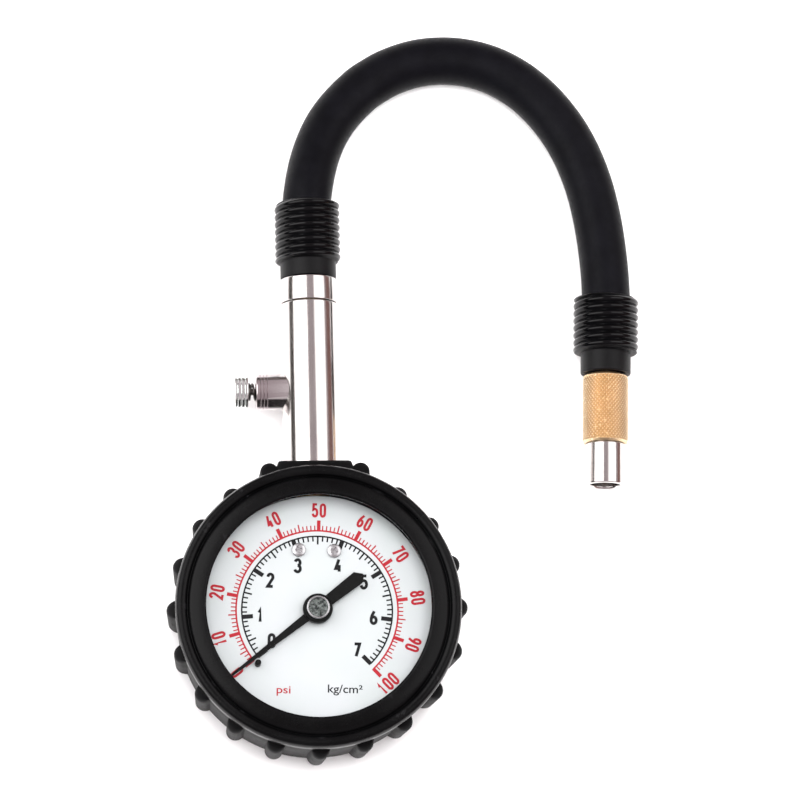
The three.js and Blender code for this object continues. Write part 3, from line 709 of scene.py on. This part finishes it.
def make_knurled_body():
    low, high = KNURL_SPAN
    per_diamond = 6
    chamfer = 0.7
    turns = round((high - low - 2 * chamfer) / KNURL_ALONG)
    along = (high - low - 2 * chamfer) / turns
    start = low + chamfer
    rows = [(KNURL_R, start + along * k / per_diamond) for k in range(turns * per_diamond + 1)]
    inner = 4.5
    profile = [
        (inner, low), (KNURL_R - 0.75, low, 0.2), (KNURL_R - 0.35, low + chamfer * 0.6, 0.2),
        *rows, (KNURL_R - 0.35, high - chamfer * 0.6, 0.2), (KNURL_R - 0.75, high, 0.2),
        (inner, high),
    ]

    def diamond(angle, radius, height):
        if radius < KNURL_R:
            return radius, height
        around = KNURL_AROUND * angle / (2 * pi)
        up = (height - start) / along
        slopes = [abs(2 * (value % 1) - 1) for value in (around + up, around - up)]
        crest = min(1.0, 1.35 * min(slopes))
        ends = min(1.0, (height - start + 0.2) / 0.5, (high - chamfer + 0.2 - height) / 0.5)
        spot = Vector((*polar(radius, angle), height))
        wear = KNURL_WEAR * (1 + noise.noise(spot * 1.7))
        return radius - wear - KNURL_DEPTH * (1 - crest * ends), height

    columns = KNURL_AROUND * per_diamond
    return turned("knurled_grip", profile, CHUCK_FRAME, columns, shape=diamond, flat=True)


grip = finished(make_knurled_body(), "knurled_brass", "chuck_body")
nose_walls = [
    (MOUTH_R, 0.45, 0.2), (MOUTH_R + 0.35, 0, 0.15), (NOSE_R, 0, 0.7),
    (NOSE_R, NOSE_LENGTH, 0.15), (4.2, NOSE_LENGTH), (4.2, 17, 0.2), (3, 17), (3, 10),
    (1.4, 10), (1.4, 8.9, 0.1), (MOUTH_R, 8.9),
]
nose = finished(turned("chuck_nose_tube", nose_walls, CHUCK_FRAME), "chrome", "chuck_nose")
washer = [(1.9, 6.6, 0.5), (3.8, 6.6, 0.3), (3.8, 8.6, 0.3), (1.9, 8.6, 0.3)]
chuck_seal = turned("chuck_seal_washer", washer, CHUCK_FRAME, 64)
finished(chuck_seal, "seal_rubber", "chuck_seal")
pin = [
    (0, 4.7), (0.9, 4.7, 0.35), (0.9, 11.2), (2.5, 11.2, 0.15), (2.5, 12.2, 0.15), (0.9, 12.2),
    (0.9, 13.6, 0.3), (0, 13.6),
]
depressor = turned("depressor_pin", pin, CHUCK_FRAME, 40)
finished(depressor, "movement_brass", "valve_depressor", body="depressor", slot="knurled_brass")

# ---- stem and bleed valve ----


def make_stem():
    low, high = STEM_Y
    profile = [
        (SHANK_R, low), (STEM_R, low, 0.4), (STEM_R, high, 0.3), (NIPPLE_R, high, 0.1),
        (NIPPLE_R, NIPPLE_SEAT), (AIRWAY_R, NIPPLE_SEAT), (AIRWAY_R, SHANK_END),
        (SHANK_R, SHANK_END),
    ]
    stem = turned("bright_stem", profile, STEM_FRAME, 144)
    port = [(0, -0.9), (3.3, -0.9), (3.3, 9), (0, 9)]
    cut(stem, turned("port_cutter", port, BLEED_FRAME, 48))
    return stem


def grooves(radius, places, depth, width):
    """Points for fine V grooves round a bar, lowest first."""
    points = []
    for at in places:
        points += [(radius, at - width / 2), (radius - depth, at), (radius, at + width / 2)]
    return points


def make_barrel():
    """Turned barrel, saddled on the stem and open outside for the spring and the button's neck."""
    profile = [
        (1.2, 5.2), (BARREL_R, 5.2), *grooves(BARREL_R, (11.9, 12.8, 13.7), 0.14, 0.3),
        (BARREL_R, BARREL_END, 0.35), (BARREL_BORE_R + 0.1, BARREL_END, 0.2),
        (BARREL_BORE_R, BARREL_END - 0.3), (BARREL_BORE_R, BARREL_FLOOR), (1.2, BARREL_FLOOR),
    ]
    barrel = turned("bleed_barrel_turned", profile, BLEED_FRAME)
    saddle = [(0, 50), (STEM_R + 0.06, 50), (STEM_R + 0.06, 72), (0, 72)]
    cut(barrel, turned("saddle_cutter", saddle, STEM_FRAME, 144))
    return barrel


def swept(name, rings, place):
    """A closed solid through rings of points in mm."""
    sides = len(rings[0])
    vertices = [point for ring in rings for point in ring]
    faces = [tuple(range(sides)), tuple(range(len(vertices) - sides, len(vertices)))]
    for k in range(len(rings) - 1):
        for i in range(sides):
            a, b = k * sides + i, k * sides + (i + 1) % sides
            faces.append((a, b, b + sides, a + sides))
    mesh = mesh_of(name, vertices, faces)
    settle(mesh)
    return add_object(name, mesh, place)


def ring_on_turn(angle, radius, height, across, up, count):
    """Points in mm of an ellipse that stands on a turn about Z, at an angle in radians."""
    ring = []
    for i in range(count):
        turn = 2 * pi * i / count
        x, y = polar(radius + across * cos(turn), angle)
        ring.append((x, y, height + up * sin(turn)))
    return ring


def make_spring(name, place, low, high, mean_r, turns):
    """Round wire between two heights, with its end turns closed up."""
    start, end = low + SPRING_WIRE_R, high - SPRING_WIRE_R
    steps = 28 * turns
    rings = []
    for k in range(steps + 1):
        part = k / steps
        angle = 2 * pi * turns * part
        eased = min(1.0, max(0.0, (part - 0.1) / 0.8))
        height = start + (end - start) * eased
        rings.append(ring_on_turn(angle, mean_r, height, SPRING_WIRE_R, SPRING_WIRE_R, 10))
    return swept(name, rings, place)


def press_spring(spring, joint, place, low, high, fixed, travel):
    """Gives the spring a mesh of its own and leaves its shape as it is; fixed, the height of the end
    that stays, is not used.
    """
    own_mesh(spring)


finished(make_stem(), "chrome", "stem_body")
low, high = FERRULE_Y
walls = [
    (NIPPLE_R, low, 0.1), (STEM_R, low, 0.3), (STEM_R, high, 0.5),
    (SLEEVE_BORE_R + 0.1, high, 0.2), (SLEEVE_BORE_R, low + 1.5), (NIPPLE_R, low + 1.5),
]
finished(turned("bright_ferrule", walls, STEM_FRAME, 144), "chrome", "hose_ferrule")
# The barrel takes the chrome copy with a painted dark reflection.
finished(make_barrel(), "chrome_painted_dark_reflection", "bleed_barrel", slot="chrome")
low, high = KNOB_SPAN
neck = [(0, 1.4), (1.9, 1.4, 0.15), (1.9, 2.2, 0.15), (0.9, 2.2), (0.9, high - 1, 0.2), (0, high - 1)]
plunger = turned("bleed_plunger_neck", neck, BLEED_FRAME, 48)
finished(plunger, "spring_steel", "bleed_plunger", body="bleed_button", slot="steel")
walls = [
    (1.2, low), (KNOB_R, low, 0.35),
    *grooves(KNOB_R, (low + 0.95, low + 1.95, low + 2.95), 0.2, 0.45), (KNOB_R, high, 0.5),
    (0, high), (0, high - 0.7), (1.2, high - 0.7), (1.2, low + 0.1),
]
knob = turned("bleed_button_knob", walls, BLEED_FRAME)
# The knob takes the chrome copy with a painted bright reflection.
finished(knob, "chrome_painted_bright_reflection", "bleed_knob", body="bleed_button", slot="chrome")
bleed_ends = (BARREL_FLOOR, KNOB_SPAN[0] - 0.05)
bleed_spring = make_spring("bleed_spring_wire", BLEED_FRAME, *bleed_ends, SPRING_MEAN_R, SPRING_TURNS)
finished(bleed_spring, "spring_steel", "bleed_spring", slot="steel")
press_spring(bleed_spring, "bleed_press", BLEED_FRAME, *bleed_ends, BARREL_FLOOR, BLEED_TRAVEL)
valve_spring = make_spring("depressor_spring_wire", CHUCK_FRAME, *VALVE_SPRING, SPRING_MEAN_R, 3)
finished(valve_spring, "steel", "depressor_spring")
press_spring(valve_spring, "depressor_press", CHUCK_FRAME, *VALVE_SPRING, VALVE_SPRING[1], VALVE_TRAVEL)

# ---- boot ----


def boot_angles():
    """Directions for the boot's columns: close together on the lugs' flanks."""
    pitch = 360 / LUG_COUNT
    flank = [0, 0.8, 1.5, 2.1, 2.6, 3.0, 3.3, 3.5, 3.65, 3.85, 4.4, 5.4, 7.0]
    offsets = sorted({-f for f in flank} | set(flank) | {pitch / 2})
    angles = {round(pitch * i + offset, 3) for i in range(LUG_COUNT) for offset in offsets}
    return [radians(a) for a in sorted(a % 360 for a in angles)]


def soft_step(value):
    value = min(1.0, max(0.0, value))
    return value * value * (3 - 2 * value)


def end_rounding(height, low, high, reach):
    """1 between two heights, and round over the last stretch at each of them."""
    inside = min(height - low, high - height)
    if inside <= 0:
        return 0.0
    part = min(1.0, inside / reach)
    return sqrt(1 - (1 - part) ** 2)


def lug_swell(angle, radius, height):
    pitch = 2 * pi / LUG_COUNT
    off = (angle + pitch / 2) % pitch - pitch / 2
    if abs(angle - off - pi / 2) < 0.01:
        return 0.0
    sideways = abs(off) * radius
    crown = sqrt(max(0.0, 1 - (sideways / LUG_HALF) ** 2))
    return LUG_HEIGHT * crown * end_rounding(height, *LUG_Z, LUG_END)


def collar_reach(angle, radius, height):
    """How far out the collar stands in this direction: a pad between two round beads."""
    off = angle - pi / 2
    if abs(off) > 0.4:
        return radius
    bead_x, bead_y = COLLAR_BEAD
    reach = COLLAR_Y / cos(off)
    while reach > radius:
        x, y = abs(reach * sin(off)), reach * cos(off)
        limit = COLLAR_Y - (COLLAR_Y - bead_y) * soft_step((x - COLLAR_HALF + 0.4) / 1.6)
        if abs(x - bead_x) < COLLAR_BEAD_R:
            limit = max(limit, bead_y + sqrt(COLLAR_BEAD_R**2 - (x - bead_x) ** 2))
        if y <= limit and x < bead_x + COLLAR_BEAD_R:
            break
        reach -= 0.02
    reach = max(reach, radius)
    return radius + (reach - radius) * end_rounding(height, *COLLAR_Z, 1.6)


def boot_wall(height):
    """Radius of the plain wall, which widens from the back to the front."""
    return BOOT_REAR_R + (BOOT_R - BOOT_REAR_R) * (height - 2) / (BOOT_TOP - 4.2)


def boot_shape(angle, radius, height):
    if abs(radius - boot_wall(height)) > 0.05 or height > 31:
        return radius, height
    return max(radius + lug_swell(angle, radius, height), collar_reach(angle, radius, height)), height


def make_boot():
    top = BOOT_TOP
    low, high = LUG_Z
    stations = {2.0, 3.0, 28.2, 28.5, 30.0} | {low + LUG_END + 3.1 * k for k in range(7)}
    for step in (0, 0.15, 0.4, 0.75, 1.2, 1.8, LUG_END):
        stations |= {low + step, high - step}
    wall = [(boot_wall(z), z) for z in sorted(stations)]
    inner = CASE_R + 0.3
    profile = [
        (0, 0), (BOOT_REAR_R - 1.9, 0, 1.2), (BOOT_REAR_R - 0.05, 1.6, 0.3), *wall,
        (BOOT_R, top - 2.2, 0.8), (BOOT_R - 0.6, top - 0.75, 0.9), (BOOT_R - 1.6, top - 0.45, 0.8),
        (BOOT_R - 2.7, top - 0.75, 0.5), (BOOT_R - 3.2, top - 1.7, 0.5),
        (BOOT_R - 3.9, top - 0.75, 0.8), (BOOT_R - 5.5, top - 0.3, 1.0), (LIP_R + 0.55, top, 0.45),
        (LIP_R, top - 0.55, 0.4), (LIP_R, BEZEL_Z[1] + 0.25), (inner, BEZEL_Z[1] + 0.25),
        (inner, BOOT_BACK), (0, BOOT_BACK),
    ]
    boot = turned("boot_moulding", profile, DIAL_FRAME, shape=boot_shape, angles=boot_angles())
    hole = [
        (0, 28), (STEM_R + 0.25, 28), (STEM_R + 0.25, COLLAR_Y - 0.9),
        (STEM_R + 0.5, COLLAR_Y - 0.35), (STEM_R + 1.1, COLLAR_Y + 0.05), (STEM_R + 1.1, 46),
        (0, 46),
    ]
    cut(boot, turned("hole_cutter", hole, STEM_FRAME))
    return boot


finished(make_boot(), "boot_rubber", "protective_boot")

# ---- case, window, dial ----


def make_case():
    inside = CASE_R - CASE_WALL
    low, high = span("case_cup", Z)
    profile = [
        (0, low), (CASE_R - 2.3, low, 0.8), (CASE_R, low + 2.3, 0.8), (CASE_R, high, 0.2),
        (inside, high, 0.2), (inside, LEDGE_Z[1]), (LEDGE_R, LEDGE_Z[1], 0.2),
        (LEDGE_R, LEDGE_Z[0], 0.2), (inside, LEDGE_Z[0] - 0.6), (inside, low + 2.7, 0.8),
        (inside - 1.8, low + CASE_WALL, 0.6), (0, low + CASE_WALL),
    ]
    cup = turned("case_cup_pressing", profile, DIAL_FRAME, 144)
    hole = [(0, 28), (SHANK_R, 28), (SHANK_R, 38), (0, 38)]
    cut(cup, turned("shank_cutter", hole, STEM_FRAME, 48))
    return cup


def flat_disc(name, node, hole_r, outer_r, fillets):
    """A flat ring or disc as thick as its CAD node, with a fillet at each of its four corners."""
    low, high = span(node, Z)
    corners = ((hole_r, low), (outer_r, low), (outer_r, high), (hole_r, high))
    profile = [corner + fillet for corner, fillet in zip(corners, fillets)]
    return turned(name, profile, DIAL_FRAME, 144)


finished(make_case(), "case_steel", "case_cup")
low, high = BEZEL_Z
inside = CASE_R - CASE_WALL
walls = [
    (inside, low, 0.15), (CASE_R, low, 0.15), (CASE_R, high, 0.9), (LIP_R + 0.7, high, 0.3),
    (LIP_R + 0.7, WINDOW_Z[1] + 0.3, 0.15), (inside, WINDOW_Z[1] + 0.3, 0.2),
]
finished(turned("bezel_ring_turned", walls, DIAL_FRAME, 144), "case_steel", "bezel_ring")
gasket = flat_disc("window_gasket_ring", "window_gasket", LEDGE_R + 0.2, WINDOW_R, ((0.2,),) * 4)
window = flat_disc("window_disc", "window_lens", 0, WINDOW_R, ((), (0.25,), (0.25,), ()))
dial = flat_disc("dial_disc", "dial_plate", 1.6, DIAL_R, ((), (0.15,), (0.2,), (0.05,)))
finished(gasket, "seal_rubber", "window_gasket")
finished(window, "window_clear", "window_lens")
finished(dial, "dial_white", "dial_plate")

# ---- pressure tube ----
# The tube is made in two parts: its free half, and the rest, which stays where the socket holds it.
TUBE_R = 22.0
TUBE_HALF = (1.2, 4.0)
TUBE_FREE_END = 156
TUBE_REST = 270
TUBE_SOCKET = 443


def tube_part(name, first, last):
    across, half = TUBE_HALF
    steps = round((last - first) / 4)
    rings = []
    for k in range(steps + 1):
        angle = radians(first + (last - first) * k / steps)
        rings.append(ring_on_turn(angle, TUBE_R, STEM_Z, across, half, 20))
    return swept(name, rings, DIAL_FRAME)


fixed_tube = tube_part("bourdon_tube_fixed", TUBE_REST, TUBE_SOCKET)
finished(fixed_tube, "movement_brass", "bourdon_tube")
free_tube = tube_part("bourdon_tube_free", TUBE_FREE_END, TUBE_REST)
finished(free_tube, "movement_brass", "bourdon_tube", body=None)
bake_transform(free_tube)

# ---- printing on the dial ----
# Every mark is a thin film of ink just above the dial's face.


def bow(x, y, half_width, half_height, start, end):
    """Points of an elliptical arc from one angle to another, in degrees."""
    steps = max(4, round(abs(end - start) / 20))
    angles = [radians(start + (end - start) * k / steps) for k in range(steps + 1)]
    return [(x + half_width * cos(a), y + half_height * sin(a)) for a in angles]


# Middle lines of condensed numerals, in a box one wide and one high.
SIX = [
    bow(0.5, 0.27, 0.5, 0.27, 0, 360),
    [(0, 0.27), (0.03, 0.45), (0.2, 0.68), (0.6, 1)],
]
DIGITS = {
    "0": [[*bow(0.5, 0.76, 0.5, 0.24, 0, 180), *bow(0.5, 0.24, 0.5, 0.24, 180, 360), (1, 0.76)]],
    "1": [[(0.1, 0.74), (0.75, 1), (0.75, 0)]],
    "2": [[*bow(0.5, 0.75, 0.5, 0.25, 175, -25), (0, 0), (1, 0)]],
    "3": [
        bow(0.45, 0.76, 0.48, 0.24, 165, -90),
        bow(0.45, 0.26, 0.55, 0.26, 90, -165),
    ],
    "4": [[(0.6, 1), (0, 0.25), (1, 0.25)], [(0.7, 0.55), (0.7, 0)]],
    "5": [[(0.95, 1), (0.12, 1), (0.06, 0.56), *bow(0.45, 0.31, 0.55, 0.31, 115, -165)]],
    "6": SIX,
    "7": [[(0, 1), (1, 1), (0.35, 0)]],
    "8": [bow(0.5, 0.76, 0.42, 0.24, 0, 360), bow(0.5, 0.26, 0.5, 0.26, 0, 360)],
    "9": [[(1 - x, 1 - y) for x, y in line] for line in SIX],
}
ONE_WIDTH = 0.62
DIGIT_GAP = 0.3


class Print:
    """Collects the marks of one ink in one mesh."""

    def __init__(self, name):
        self.name = name
        self.work = bmesh.new()

    def prism(self, outline, layer=0):
        """A film with this outline of (x, y) points in mm; crossing marks are on different layers."""
        low = DIAL_Z[1] + 0.01
        mesh = prism_mesh("film", outline, low, low + INK + INK_LAYER * layer)
        self.work.from_mesh(mesh)
        bpy.data.meshes.remove(mesh)

    def tick(self, angle, inner, outer, width):
        along = Vector(polar(1, radians(angle)))
        side = Vector((-along.y, along.x)) * width / 2
        corners = (along * inner - side, along * outer - side, along * outer + side)
        self.prism([tuple(c) for c in (*corners, along * inner + side)], layer=1)

    def arc(self, inner, outer, start, end):
        steps = round(abs(end - start) / 2)
        for k in range(steps):
            first = radians(start + (end - start) * k / steps)
            last = radians(start + (end - start) * (k + 1) / steps)
            ends = ((inner, last), (inner, first), (outer, first), (outer, last))
            self.prism([polar(*end) for end in ends])

    def stroke(self, points, width, layer):
        """A line of even width through the points; one that ends where it starts is a closed loop."""
        points = [Vector(p) for p in points]
        closed = (points[0] - points[-1]).length < 1e-6
        if closed:
            points.pop()
        count = len(points)
        rows = []
        for i, point in enumerate(points):
            before = (point - points[i - 1]).normalized() if closed or i > 0 else None
            after = (points[(i + 1) % count] - point).normalized() if closed or i < count - 1 else None
            before, after = before or after, after or before
            along = (before + after).normalized()
            side = Vector((-along.y, along.x))
            reach = width / 2 / max(0.5, side.dot(Vector((-after.y, after.x))))
            rows.append((point + side * reach, point - side * reach))
        for i in range(count if closed else count - 1):
            (a, b), (c, d) = rows[i], rows[(i + 1) % count]
            self.prism([tuple(a), tuple(b), tuple(d), tuple(c)], layer)

    def digits(self, number, place, turn, height, width, weight):
        """Condensed numerals, each this high and wide in mm, in lines of this weight."""
        across = Vector(polar(1, radians(turn)))
        up = Vector((-across.y, across.x))
        for i, digit in enumerate(number):
            wide = width * (ONE_WIDTH if digit == "1" else 1)
            at = Vector(place) + across * (i - (len(number) - 1) / 2) * (width + DIGIT_GAP)
            for layer, line in enumerate(DIGITS[digit]):
                self.stroke(
                    [
                        at + across * (x - 0.5) * (wide - weight) + up * (y - 0.5) * (height - weight)
                        for x, y in line
                    ],
                    weight,
                    layer,
                )

    def text(self, body, place, turn, height, width):
        """Small words whose ink is this high and wide in mm, centred on a place and turned."""
        curve = bpy.data.curves.new(body, "FONT")
        curve.body = body
        curve.resolution_u = 5
        curve.offset = 0.008
        curve.extrude = 0.5
        letters = add_object(body, curve, DIAL_FRAME)
        graph = bpy.context.evaluated_depsgraph_get()
        mesh = bpy.data.meshes.new_from_object(letters.evaluated_get(graph))
        bpy.data.objects.remove(letters)
        xs, ys, _ = zip(*(vertex.co for vertex in mesh.vertices))
        wide, high = max(xs) - min(xs), max(ys) - min(ys)
        centre = Vector((min(xs) + wide / 2, min(ys) + high / 2, 0))
        size = Vector((width / wide, height / high, INK)) * MM
        at = Vector((place[0], place[1], DIAL_Z[1] + 0.01 + INK / 2)) * MM
        mesh.transform(
            Matrix.Translation(at)
            @ Matrix.Rotation(radians(turn), 4, "Z")
            @ Matrix.Diagonal((*size, 1))
            @ Matrix.Translation(-centre)
        )
        self.work.from_mesh(mesh)
        bpy.data.meshes.remove(mesh)

    def done(self, material):
        mesh = bpy.data.meshes.new(self.name)
        self.work.to_mesh(mesh)
        self.work.free()
        settle(mesh, flat=True)
        piece = add_object(self.name, mesh, DIAL_FRAME)
        return finished(piece, material, "dial_plate", slot="dial_white")


def psi_angle(psi):
    """Direction of a pressure; the scale's zero is where the pointer rests, against its stop."""
    return min(POINTER_ANGLE, SCALE_START - DEGREES_PER_PSI * psi)


# Bands of both scales, where their ticks start, and each tick's other end and width: single ones,
# every fifth and every tenth. A numeral has a height, a width and a line weight.
RED_BAND = (21.28, 21.73)
RED_TICK_FROM = 21.4
RED_TICKS = ((22.9, 0.32), (23.6, 0.36), (24.3, 0.95))
RED_NUMERAL = (3.9, 1.75, 0.66)
RED_NUMERAL_R = 27.0
BLACK_BAND = (19.78, 20.2)
BLACK_TICK_FROM = 20.1
BLACK_TICKS = ((18.6, 0.4), (17.8, 0.45), (17.1, 1.15))
BLACK_NUMERAL = (4.1, 2.15, 0.8)


def tick_size(sizes, index):
    return sizes[(index % 5 == 0) + (index % 10 == 0)]


def print_red():
    red = Print("scale_psi")
    red.arc(*RED_BAND, psi_angle(0), psi_angle(100))
    for psi in (0, *range(3, 101)):
        reach, width = tick_size(RED_TICKS, psi)
        red.tick(psi_angle(psi), RED_TICK_FROM, reach, width)
    for psi in range(0, 101, 10):
        angle = psi_angle(psi)
        turn = 90 if psi == 100 else -90
        place = polar(RED_NUMERAL_R, radians(angle))
        red.digits(str(psi), place, angle + turn, *RED_NUMERAL)
    red.text("psi", (-9.3, -21.4), DIAL_TURN, 2.6, 3.7)
    return red.done("red_ink")


# For each numeral of the inner scale: distance from the axis, and degrees off its own mark.
UNIT_NUMERALS = [
    (14.6, -4.1), (15.3, 0), (14.8, 0), (13.05, 4.4), (13.4, -5.1), (14.7, 0), (15.1, 0),
    (14.9, 0),
]


def print_black():
    black = Print("scale_kg_cm2")
    units = len(UNIT_NUMERALS) - 1
    black.arc(*BLACK_BAND, psi_angle(0), psi_angle(units * PSI_PER_UNIT))
    for tenth in range(10 * units + 1):
        reach, width = tick_size(BLACK_TICKS, tenth)
        if tenth != 1:
            black.tick(psi_angle(tenth * PSI_PER_UNIT / 10), reach, BLACK_TICK_FROM, width)
    for unit, (radius, off) in enumerate(UNIT_NUMERALS):
        place = polar(radius, radians(psi_angle(unit * PSI_PER_UNIT) + off))
        black.digits(str(unit), place, DIAL_TURN, *BLACK_NUMERAL)
    black.text("kg/cm\u00b2", (7.0, -21.4), DIAL_TURN, 2.9, 9.2)
    return black.done("black_ink")


print_red()
print_black()

# ---- small parts on the dial ----


def cross_cutter(width, length, low, high):
    """An upright cross, for a screw's recess."""
    a, b = width / 2, length / 2
    quarter = [(b, -a), (b, a), (a, a)]
    outline = []
    for turn in (0, 90, 180, 270):
        c, d = polar(1, radians(turn))
        outline += [(x * c - y * d, x * d + y * c) for x, y in quarter]
    return prism_mesh("cross", outline, low, high)


def upright(node):
    """A frame whose Z runs up through the middle of a CAD node."""
    return Matrix.Translation((middle(node, X) * MM, middle(node, Y) * MM, 0))


def make_dial_screw(node, turn):
    """Pan-head screw with a cross recess."""
    name = node + "_pan_head"
    low, high = span(node, Z)
    head_r = radius_of(node, X)
    head_low = DIAL_Z[1] + 0.3
    profile = [
        (0, low), (1.0, low, 0.3), (1.0, head_low), (head_r, head_low, 0.15),
        (head_r, high - 0.25, 0.2), (head_r - 0.75, high, 0.4), (0, high),
    ]
    place = upright(node) @ Matrix.Rotation(radians(turn), 4, "Z")
    screw = turned(name, profile, place, 64)
    cut(screw, add_object("cross", cross_cutter(0.42, 2.0, high - 0.5, high + 0.3), place))
    return screw


def make_needle():
    """Flat blade with a blunt-pointed tail."""
    outline = [
        (3.2, -POINTER_HALF[0] + 0.1), (POINTER_LENGTH - 0.2, -POINTER_HALF[1]),
        (POINTER_LENGTH, 0), (POINTER_LENGTH - 0.2, POINTER_HALF[1]), (3.2, POINTER_HALF[0] - 0.1),
        (-3.2, TAIL_HALF[0] + 0.1), (-TAIL_REACH[0], TAIL_HALF[1]), (-TAIL_REACH[1], 0),
        (-TAIL_REACH[0], -TAIL_HALF[1]), (-3.2, -TAIL_HALF[0] - 0.1),
    ]
    mesh = prism_mesh("pointer_needle", outline, *POINTER_Z)
    work = bmesh.new()
    work.from_mesh(mesh)
    rims = [e for e in work.edges if abs(e.verts[0].co.z - e.verts[1].co.z) < 1e-6]
    bmesh.ops.bevel(work, geom=rims, offset=0.08 * MM, segments=2, affect="EDGES")
    work.to_mesh(mesh)
    work.free()
    settle(mesh)
    return add_object("pointer_needle", mesh, Matrix.Rotation(radians(POINTER_ANGLE), 4, "Z"))


for node, turn in (("dial_screw_left", 20), ("dial_screw_right", 65)):
    finished(make_dial_screw(node, turn), "steel", node)
low, high = span("stop_pin", Z)
stop_r = radius_of("stop_pin", Y)
stop = [(0, low), (stop_r, low, 0.1), (stop_r, high, 0.2), (0, high)]
stop_pin = turned("stop_pin_turned", stop, upright("stop_pin"), 32)
finished(stop_pin, "pointer_black", "stop_pin", slot="case_steel")
finished(make_needle(), "pointer_black", "pointer", body="pointer_set")
low, high = HUB_Z
hub = [
    (0.9, low), (HUB_R, low, 0.25), (HUB_R, high - 0.55, 0.35), (HUB_R - 0.45, high, 0.3),
    (0.9, high),
]
finished(turned("pointer_hub", hub, DIAL_FRAME), "pointer_black", "pointer", body="pointer_set")

# The cap is a dark face with a bright turned ring standing round it.
low, high = CAP_Z
face_r = CAP_R - 0.42
ring = [(face_r, low), (CAP_R, low, 0.1), (CAP_R, high, 0.18), (face_r, high, 0.18)]
face = [(0, low), (face_r, low), (face_r, high - 0.25, 0.1), (0, high - 0.15)]
cap_ring = turned("cap_ring", ring, DIAL_FRAME)
cap_face = turned("cap_face", face, DIAL_FRAME)
finished(cap_ring, "steel", "pointer_cap", body="pointer_set")
finished(cap_face, "cap_metal", "pointer_cap", body="pointer_set", slot="steel")

# ---- floor, light ----
STUDIO_LEFT = (0.07, 0.063, 0.057)
STUDIO_RIGHT = (0.30, 0.165, 0.15)
STUDIO_HIGH = (0.50, 0.43, 0.45)
STUDIO_BACKDROP = grey(0.95)
FLOOR_CORNERS = ((-4000, -4000), (4000, -4000), (4000, 4000), (-4000, 4000))
LIGHT_AIM = Vector((0.03, 0.06, 0.02))


def make_floor():
    mesh = mesh_of("floor", [(x, y, 0) for x, y in FLOOR_CORNERS], [(0, 1, 2, 3)])
    floor = add_object("floor", mesh, Matrix.Translation((0, 0, -0.0001)))
    look = Surface("pale_floor", Specular_IOR_Level=0.2)
    grain = look.noise(40)
    look.colour(look.mix(grain, grey(0.86), grey(0.88)))
    look.rough(grain, 0.7, 0.8)
    mesh.materials.append(look.material)


def softbox(name, across_angle, distance, width, length, radiance, up=0.13, glossy=True):
    """A box above the object, tilted towards it; the angle is from straight up, +X side positive."""
    data = bpy.data.lights.new(name, "AREA")
    data.shape = "RECTANGLE"
    data.size = width
    data.size_y = length
    data.energy = radiance * pi * width * length
    tilt = radians(across_angle)
    z, x = polar(distance, tilt)
    where = Matrix.Translation(LIGHT_AIM + Vector((x, up, z)))
    light = add_object(name, data, where @ Matrix.Rotation(tilt, 4, "Y"))
    light.visible_camera = False
    light.visible_glossy = glossy


def make_world():
    """A studio: dark low down and warmer on the +X side, mid grey above, near white behind it all."""
    world = bpy.data.worlds.new("studio")
    world.use_nodes = True
    nodes = Nodes(world.node_tree)
    split = nodes.node("SeparateXYZ")
    nodes.link(nodes.node("TexCoord").outputs["Generated"], split.inputs["Vector"])
    sideways = nodes.between(split.outputs["X"], 0, 1, 0, 0.6)
    upwards = nodes.between(split.outputs["Z"], 0, 1, 0.3, 0.42)
    around = nodes.mix(upwards, nodes.mix(sideways, STUDIO_LEFT, STUDIO_RIGHT), STUDIO_HIGH)
    seen = nodes.node("LightPath").outputs["Is Camera Ray"]
    background = nodes.tree.nodes["Background"]
    nodes.link(nodes.mix(seen, around, STUDIO_BACKDROP), background.inputs["Color"])
    bpy.context.scene.world = world


make_floor()
softbox("left_box", -42, 0.75, 0.80, 0.8, 3.0)
softbox("right_box", 38, 0.75, 0.60, 0.8, 1.95)
softbox("top_fill", 0, 0.9, 0.45, 0.45, 19.0, up=-0.04, glossy=False)
make_world()
bpy.context.scene.view_settings.view_transform = "Standard"

# ---- carried-over CAD nodes ----
for subpart in frame["record"]["subparts"]:
    node = frame["nodes"][subpart["node"]]
    node.data.materials.clear()
    node.data.materials.append(MATERIALS[subpart["material_slot"]])
